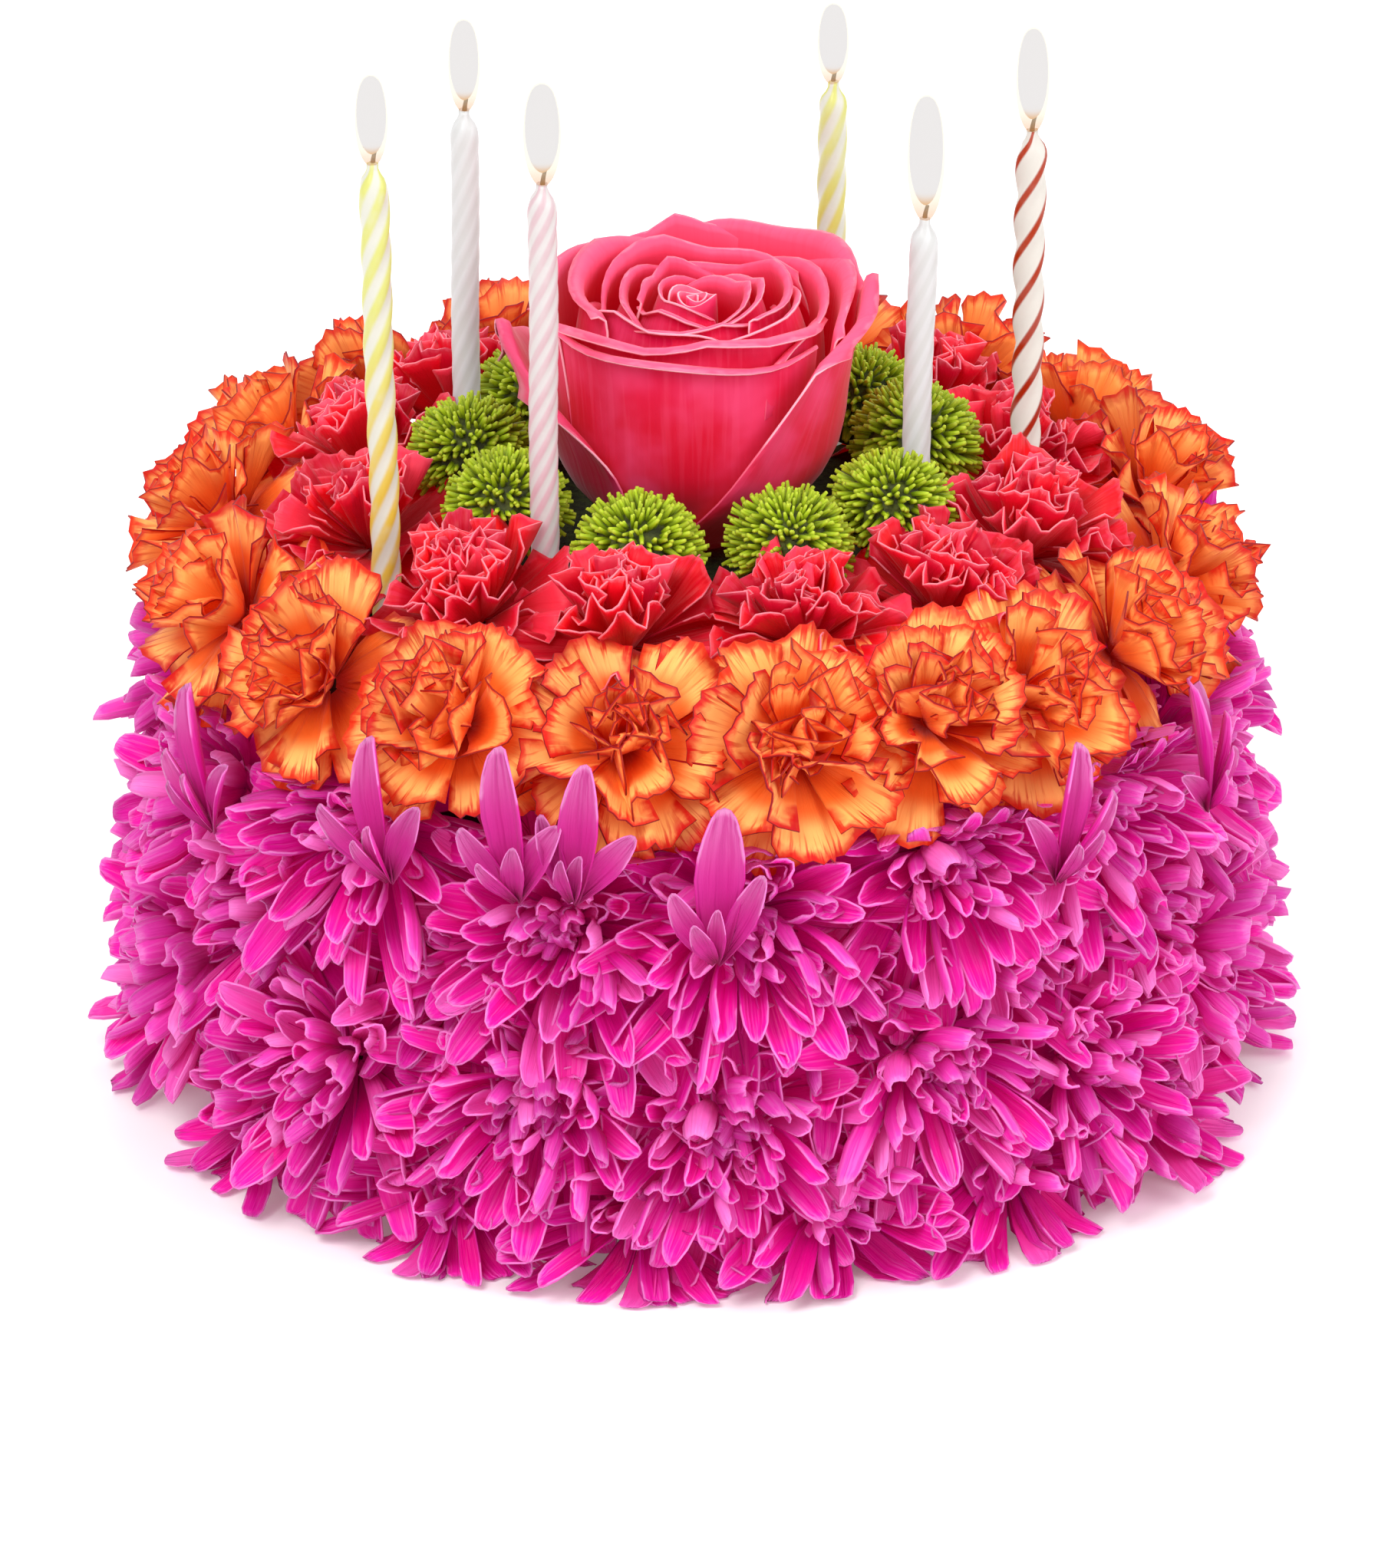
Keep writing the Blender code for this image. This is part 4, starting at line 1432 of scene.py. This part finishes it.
    def flame_shell(self, part: str, size: float, foot: float, finish: GlowFinish) -> bpy.types.Object:
        """Draw a ball out into a teardrop of light.

        Args:
            part: Name of the shell.
            size: Share of the full flame's thickness.
            foot: Share of the flame's height at which the shell begins.
            finish: Its light.

        Returns:
            The shell.
        """
        low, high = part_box(f"flame_{self.name}")
        radius = (high.x - low.x) / 2.0 * self.flame_spread
        height = high.z - low.z + self.flame_above + self.flame_below
        bpy.ops.object.select_all(action="DESELECT")
        bpy.ops.mesh.primitive_uv_sphere_add(segments=24, ring_count=20, radius=1.0)
        obj = bpy.context.object
        obj.name = f"{part}_{self.name}"
        inset = (1.0 - size) * radius
        marks = []
        for vert in obj.data.vertices:
            share = (vert.co.z + 1.0) / 2.0
            around = Vector((vert.co.x, vert.co.y, 0.0))
            if around.length > 1e-6:
                around.normalize()
            width = max(0.0, 4.0 * share * (1.0 - share)) ** (0.38 + 0.3 * max(0.0, 0.5 - share))
            marks.append(share)
            rise = foot * height + inset + (height * (1.0 - foot) - 2.0 * inset) * share
            vert.co = around * radius * size * width + UP * rise
        set_tone(obj.data, marks)
        obj.data.polygons.foreach_set("use_smooth", [True] * len(obj.data.polygons))
        middle = Vector(((low.x + high.x) / 2.0, (low.y + high.y) / 2.0, low.z - self.flame_below))
        obj.data.transform(Matrix.Translation(middle))
        obj.data.materials.append(finish.material())
        return obj

    def build(self) -> None:
        """Build the wax, the wick and the two shells of the flame."""
        show(self.wax(), f"candle_{self.name}", self.slot)
        show(self.wick(), f"candle_{self.name}", self.slot)
        show(self.flame_shell("flame_veil", 1.0, 0.0, FLAME_VEIL), f"flame_{self.name}", "flame")
        show(self.flame_shell("flame_heart", 0.9, 0.12, FLAME_HEART), f"flame_{self.name}", "flame")


# ---------------------------------------------------------------------------------------------------
# The cake
# ---------------------------------------------------------------------------------------------------


@dataclass
class MumWall:
    """The rows of mums round the side: a low and a high head in each column, smaller ones between."""

    columns: tuple[tuple[float, float, float], ...] = (
        (4.5, 32.0 * MM, 70.0 * MM), (28.0, 39.0 * MM, 77.0 * MM), (50.0, 29.0 * MM, 77.0 * MM),
        (74.0, 33.0 * MM, 71.0 * MM), (100.0, 30.0 * MM, 74.0 * MM), (126.0, 34.0 * MM, 70.0 * MM),
        (151.5, 30.0 * MM, 73.0 * MM), (177.0, 33.0 * MM, 69.0 * MM), (203.0, 30.0 * MM, 74.0 * MM),
        (229.0, 34.0 * MM, 70.0 * MM), (256.0, 30.0 * MM, 73.0 * MM), (288.0, 34.0 * MM, 66.0 * MM),
        (318.0, 31.0 * MM, 77.0 * MM), (344.5, 35.0 * MM, 67.0 * MM),
    )
    columns_per_spray: int = 2
    ring: float = 84.0 * MM
    low_tilt: float = 88.0
    high_tilt: float = 76.0
    between_ring: float = 80.0 * MM
    between_height: float = 51.0 * MM
    skirt_height: float = 13.0 * MM
    sag: float = 3.0 * MM
    crown: float = 84.5 * MM
    crown_reach: float = 101.0 * MM
    foot_reach: float = 97.5 * MM
    side_reach: float = 12.0 * MM
    side_push: float = 5.0 * MM
    foot_height: float = 12.0 * MM
    reach: float = 30.0 * MM
    floor_gap: float = 0.4 * MM
    variants: int = 5
    crest_ring: float = 103.0 * MM
    crest_fan: tuple[tuple[float, float, float], ...] = (
        (0.0, 0.5, 1.0), (-30.0, 7.0, 0.68), (32.0, 9.0, 0.64), (-12.0, 26.0, 0.5), (20.0, 34.0, 0.46),
    )
    crests: tuple[tuple[float, float, float], ...] = (
        (-30.3, 78.5 * MM, 10.0), (-17.0, 79.5 * MM, 8.0), (-11.6, 80.5 * MM, -8.0), (2.0, 70.0 * MM, 4.0),
        (37.0, 75.0 * MM, -10.0), (60.0, 74.0 * MM, 8.0), (-54.0, 74.0 * MM, 8.0), (118.0, 76.0 * MM, 10.0),
        (151.0, 80.0 * MM, 12.0), (157.0, 78.0 * MM, -8.0), (203.0, 79.0 * MM, -10.0), (241.0, 75.0 * MM, 10.0),
    )

    def build(self) -> None:
        """Grow the variants and plant every head."""
        kind = Mum()
        grown = [kind.grow(f"mum_variant_{seed}", seed) for seed in range(self.variants)]
        filler = Mum(petals=76, along=4)
        fillers = [filler.grow(f"mum_filler_{seed}", 40 + seed) for seed in range(3)]
        skirts = [Mum(petals=52, along=4).grow(f"mum_skirt_{seed}", 50 + seed) for seed in range(2)]
        rng = random.Random(11)
        count = len(self.columns)
        for number, (azimuth, low, high) in enumerate(self.columns):
            following = self.columns[(number + 1) % count][0]
            middle_azimuth = azimuth + ((following - azimuth) % 360.0) / 2.0
            heads = (
                ("low", grown, azimuth - 1.5, self.ring, low, self.low_tilt, 1.0),
                ("high", grown, azimuth + 1.0, self.ring, high, self.high_tilt, 1.0),
                ("between", fillers, middle_azimuth, self.between_ring, self.between_height, 84.0, 0.92),
                ("skirt", skirts, middle_azimuth, self.ring, self.skirt_height, 66.0, 0.92),
            )
            for row, patterns, turn, ring, height, tilt, size in heads:
                axis = polar(turn, math.sin(math.radians(tilt)), math.cos(math.radians(tilt)))
                aside = math.sin(math.radians(turn)) ** 2
                middle = polar(turn, ring + aside * self.side_push * (0.0 if row == "high" else 1.0), height)
                place = facing(middle, axis, rng.uniform(0.0, math.tau), size * rng.uniform(0.97, 1.05))
                head = kind.plant(f"mum_{number + 1:02d}_{row}", patterns[rng.randrange(len(patterns))], place)
                self.settle(head, middle)
                show(head, f"mum_spray_{number // self.columns_per_spray + 1}", "mum_petal")
        discard([*grown, *fillers, *skirts])
        self.build_crests(rng)

    def build_crests(self, rng: random.Random) -> None:
        """Stand the long loose petals up in front of the carnations.

        Args:
            rng: Source of unevenness.
        """
        straps = [
            StrapPetal(27.0 * MM, width, cup, -8.0, sway, taper=0.8, close_from=0.5, along=7).build("crest_strap")
            for width, cup, sway in ((9.2 * MM, 0.45, 0.05), (8.2 * MM, 0.6, -0.06), (7.4 * MM, 0.7, 0.08))
        ]
        finishes = [MUM_CREST.material(), MUM_BACK.material(), MUM_RIM.material()]
        count = len(self.columns)
        bunches: dict[int, list[bpy.types.Object]] = {}
        for azimuth, height, lean in self.crests:
            nearest = min(range(count), key=lambda index: abs((self.columns[index][0] - azimuth + 180.0) % 360.0 - 180.0))
            petals = bunches.setdefault(nearest // self.columns_per_spray, [])
            for spread, tilt, size in self.crest_fan:
                place = self.stance(
                    azimuth, height, lean + spread + rng.uniform(-5.0, 5.0), tilt + rng.uniform(-4.0, 4.0),
                    size * rng.uniform(0.92, 1.04), rng.gauss(0.0, 0.2),
                )
                petals.append(copy_of(rng.choice(straps), "crest", place, rng.uniform(0.2, 0.6)))
        for spray, petals in bunches.items():
            show(bunch(f"mum_crest_{spray + 1}", petals, finishes), f"mum_spray_{spray + 1}", "mum_petal")
        discard(straps)

    def stance(self, azimuth: float, height: float, lean: float, tilt: float, size: float, roll: float) -> Matrix:
        """Place a long petal against the carnations, with its face outwards.

        Args:
            azimuth: Azimuth of its root.
            height: Height of its root.
            lean: Sideways lean in degrees.
            tilt: Outward tilt in degrees.
            size: Share of its full size.
            roll: Turn round its own length.

        Returns:
            The placing of the petal.
        """
        axis = polar(azimuth, math.sin(math.radians(tilt)), math.cos(math.radians(tilt)))
        side = axis.cross(polar(azimuth, 1.0, 0.0)).normalized()
        if abs(side.z) > 0.5:
            side = polar(azimuth + 90.0, 1.0, 0.0)
        frame = Matrix((side, axis, side.cross(axis).normalized())).transposed().to_4x4()
        return (
            Matrix.Translation(polar(azimuth, self.crest_ring, height))
            @ Matrix.Rotation(math.radians(lean), 4, polar(azimuth, 1.0, 0.0)) @ frame
            @ Matrix.Rotation(roll, 4, "Y") @ Matrix.Scale(size, 4)
        )

    def settle(self, head: bpy.types.Object, middle: Vector) -> None:
        """Let the petals sag, and lay those that reach the table down on it.

        Args:
            head: Planted head.
            middle: Its root.
        """
        points = points_of(head.data)
        share = np.linalg.norm(points - np.array(middle), axis=1) / self.reach
        points[:, 2] -= self.sag * share ** 2
        radius = np.hypot(points[:, 0], points[:, 1])
        inside = np.clip((self.crown_reach - radius) / (4.0 * MM), 0.0, 1.0)
        over = np.maximum(points[:, 2] - self.crown, 0.0)
        points[:, 2] -= 0.8 * over * inside
        limit = self.foot_reach + self.side_reach * (points[:, 0] / radius) ** 2
        limit += 0.75 * np.clip(points[:, 2], 0.0, self.foot_height)
        near_foot = np.clip((self.foot_height - points[:, 2]) / (6.0 * MM), 0.0, 1.0)
        pull = 1.0 - 0.75 * near_foot * np.maximum(radius - limit, 0.0) / radius
        points[:, 0] *= pull
        points[:, 1] *= pull
        low = points[:, 2] < 3.0 * MM
        points[low, 2] = self.floor_gap + (3.0 * MM - self.floor_gap) * np.exp((points[low, 2] - 3.0 * MM) / (4.0 * MM))
        move_points(head.data, points)


@dataclass
class Ring:
    """A ring of blooms that follows the frame's nodes."""

    kind: Bloom
    nodes: str
    slot: str
    count: int
    digits: int
    radius: float
    height: float
    tilt: float
    size: float
    variants: int
    seed: int

    def build(self) -> None:
        """Grow the variants and plant one bloom on each node."""
        grown = [self.kind.grow(f"{self.nodes}_variant_{index}", self.seed + index) for index in range(self.variants)]
        rng = random.Random(self.seed)
        for number in range(1, self.count + 1):
            node = f"{self.nodes}_{number:0{self.digits}d}"
            low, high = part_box(node)
            middle = (low + high) / 2.0
            azimuth = math.degrees(math.atan2(middle.x, -middle.y))
            tilt = self.tilt + rng.uniform(-7.0, 7.0)
            axis = polar(azimuth + rng.uniform(-5.0, 5.0), math.sin(math.radians(tilt)), math.cos(math.radians(tilt)))
            root = polar(azimuth, self.radius, self.height + rng.uniform(-1.0, 1.0) * MM)
            place = facing(root, axis, rng.uniform(0.0, math.tau), self.size * rng.uniform(0.96, 1.05))
            bloom = self.kind.plant(f"bloom_{node}", grown[number % self.variants], place)
            show(bloom, node, self.slot)
        discard(grown)


class Core:
    """The soaked core, which keeps its own node and gets a foam's finish."""

    def build(self, nodes: dict[str, bpy.types.Object]) -> None:
        """Dress the core's node.

        Args:
            nodes: The frame's nodes by name.
        """
        core = nodes["core"]
        for slot in core.material_slots:
            slot.material = FOAM_GREEN.material()
        LOG.info("core keeps its node")


@dataclass
class Studio:
    """Pale floor, soft lights and the camera."""

    distance: float = 1.5
    elevation: float = 26.0
    target: Vector = Vector((-0.001, 0.0, 0.0535))
    lens: float = 190.2

    def build(self) -> None:
        """Set up the stage."""
        self.floor()
        self.lights()
        self.camera()

    def floor(self) -> None:
        """Lay the floor."""
        bpy.ops.object.select_all(action="DESELECT")
        bpy.ops.mesh.primitive_plane_add(size=8.0, location=(0.0, 0.0, -0.0001))
        floor = bpy.context.object
        floor.name = "floor"
        graph = Graph("pale_floor")
        graph.shader.inputs["Base Color"].default_value = (0.9, 0.9, 0.9, 1.0)
        graph.shader.inputs["Roughness"].default_value = 0.9
        graph.shader.inputs["Emission Color"].default_value = (1.0, 1.0, 1.0, 1.0)
        graph.shader.inputs["Emission Strength"].default_value = 0.12
        floor.data.materials.append(graph.material)

    def lights(self) -> None:
        """Hang the soft lights and whiten the world."""
        world = bpy.data.worlds.new("studio")
        bpy.context.scene.world = world
        world.use_nodes = True
        sky = world.node_tree.nodes["Background"]
        sky.inputs["Color"].default_value = (1.0, 1.0, 1.0, 1.0)
        sky.inputs["Strength"].default_value = 0.8
        for name, place, size, power in (
            ("key", Vector((-0.6, -1.1, 1.5)), 0.9, 22.0),
            ("fill", Vector((1.3, -0.9, 0.9)), 1.2, 14.0),
            ("back", Vector((0.2, 1.4, 1.3)), 1.0, 12.0),
        ):
            lamp = bpy.data.lights.new(name, "AREA")
            lamp.size = size
            lamp.energy = power
            obj = bpy.data.objects.new(name, lamp)
            obj.location = place
            obj.rotation_euler = (self.target - place).to_track_quat("-Z", "Y").to_euler()
            bpy.context.scene.collection.objects.link(obj)

    def camera(self) -> None:
        """Place the camera."""
        rise = math.radians(self.elevation)
        data = bpy.data.cameras.new("camera")
        data.lens = self.lens
        data.sensor_width = 36.0
        data.sensor_fit = "AUTO"
        data.clip_start = 0.05
        obj = bpy.data.objects.new("camera", data)
        obj.location = self.target + Vector((0.0, -self.distance * math.cos(rise), self.distance * math.sin(rise)))
        obj.rotation_euler = (self.target - obj.location).to_track_quat("-Z", "Y").to_euler()
        bpy.context.scene.collection.objects.link(obj)
        bpy.context.scene.camera = obj
        bpy.context.scene.view_settings.view_transform = "Standard"


def candles() -> list[Candle]:
    """List the six candles.

    Returns:
        The candles, each for its own pair of nodes.
    """
    yellow = StripeFinish("yellow_wax", srgb(176, 175, 164), srgb(172, 172, 92), srgb(180, 150, 48))
    white = StripeFinish("white_wax", srgb(170, 170, 169), srgb(176, 176, 176), srgb(178, 178, 180))
    pink = StripeFinish("pink_wax", srgb(176, 171, 170), srgb(172, 147, 152), srgb(178, 140, 149))
    red = StripeFinish(
        "red_wax", srgb(178, 173, 166), srgb(136, 36, 0), srgb(128, 22, 0), split=0.86, blur=0.09, fade=0.12,
        gloss=0.15,
    )
    return [
        Candle("yellow_left", "yellow_wax", yellow, pitch=34.0 * MM, lean=-1.3 * MM),
        Candle("white_left", "white_wax", white, ribs=6, pitch=34.0 * MM, rib_depth=0.05 * MM, lean=0.4 * MM),
        Candle("pink_left", "pink_wax", pink, ribs=6, pitch=30.0 * MM, rib_depth=0.08 * MM, lean=0.2 * MM),
        Candle("yellow_right", "yellow_wax", yellow, pitch=34.0 * MM),
        Candle("white_right", "white_wax", white, ribs=6, pitch=34.0 * MM, rib_depth=0.05 * MM, lean=1.4 * MM),
        Candle("red_right", "red_wax", red, ribs=3, pitch=28.0 * MM, rib_depth=0.34 * MM, lean=0.1 * MM),
    ]


def main() -> None:
    """Build every piece round the frame."""
    logging.basicConfig(level=logging.INFO, format="%(name)s: %(message)s")
    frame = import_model()
    bpy.ops.object.select_all(action="DESELECT")
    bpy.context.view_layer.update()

    Core().build(frame["nodes"])
    MumWall().build()
    orange = Carnation(
        (ORANGE_FACE, ORANGE_BACK, ORANGE_RIM), petals=26,
        lengths=((0.0, 20.0 * MM), (0.5, 18.5 * MM), (1.0, 15.0 * MM)),
        widths=((0.0, 20.0 * MM), (0.5, 17.0 * MM), (1.0, 12.0 * MM)),
        ruffles=((0.0, 1.4 * MM), (0.5, 2.2 * MM), (1.0, 2.8 * MM)),
        waves=(1.1, 2.1), unruly=13.0,
    )
    Ring(orange, "orange_carnation", "orange_petal", 18, 2, 82.5 * MM, 99.0 * MM, 50.0, 1.0, 6, 100).build()
    pink = Carnation(
        (PINK_FACE, PINK_BACK, PINK_RIM), petals=46,
        lengths=((0.0, 20.5 * MM), (0.5, 18.5 * MM), (1.0, 14.0 * MM)),
        widths=((0.0, 13.5 * MM), (0.5, 11.5 * MM), (1.0, 8.5 * MM)),
        ruffles=((0.0, 1.4 * MM), (0.5, 1.9 * MM), (1.0, 1.9 * MM)),
        waves=(1.4, 2.2), tooth=0.25 * MM, unruly=16.0,
    )
    Ring(pink, "pink_carnation", "pink_petal", 12, 2, 59.0 * MM, 105.5 * MM, 14.0, 1.0, 6, 200).build()
    Ring(Pom(), "pom", "pom_floret", 9, 1, 40.0 * MM, 117.5 * MM, 8.0, 1.0, 3, 300).build()
    show(Rose().grow("rose_bloom", 5), "rose", "rose_petal")
    for candle in candles():
        candle.build()
    Studio().build()


if __name__ == "__main__":
    main()
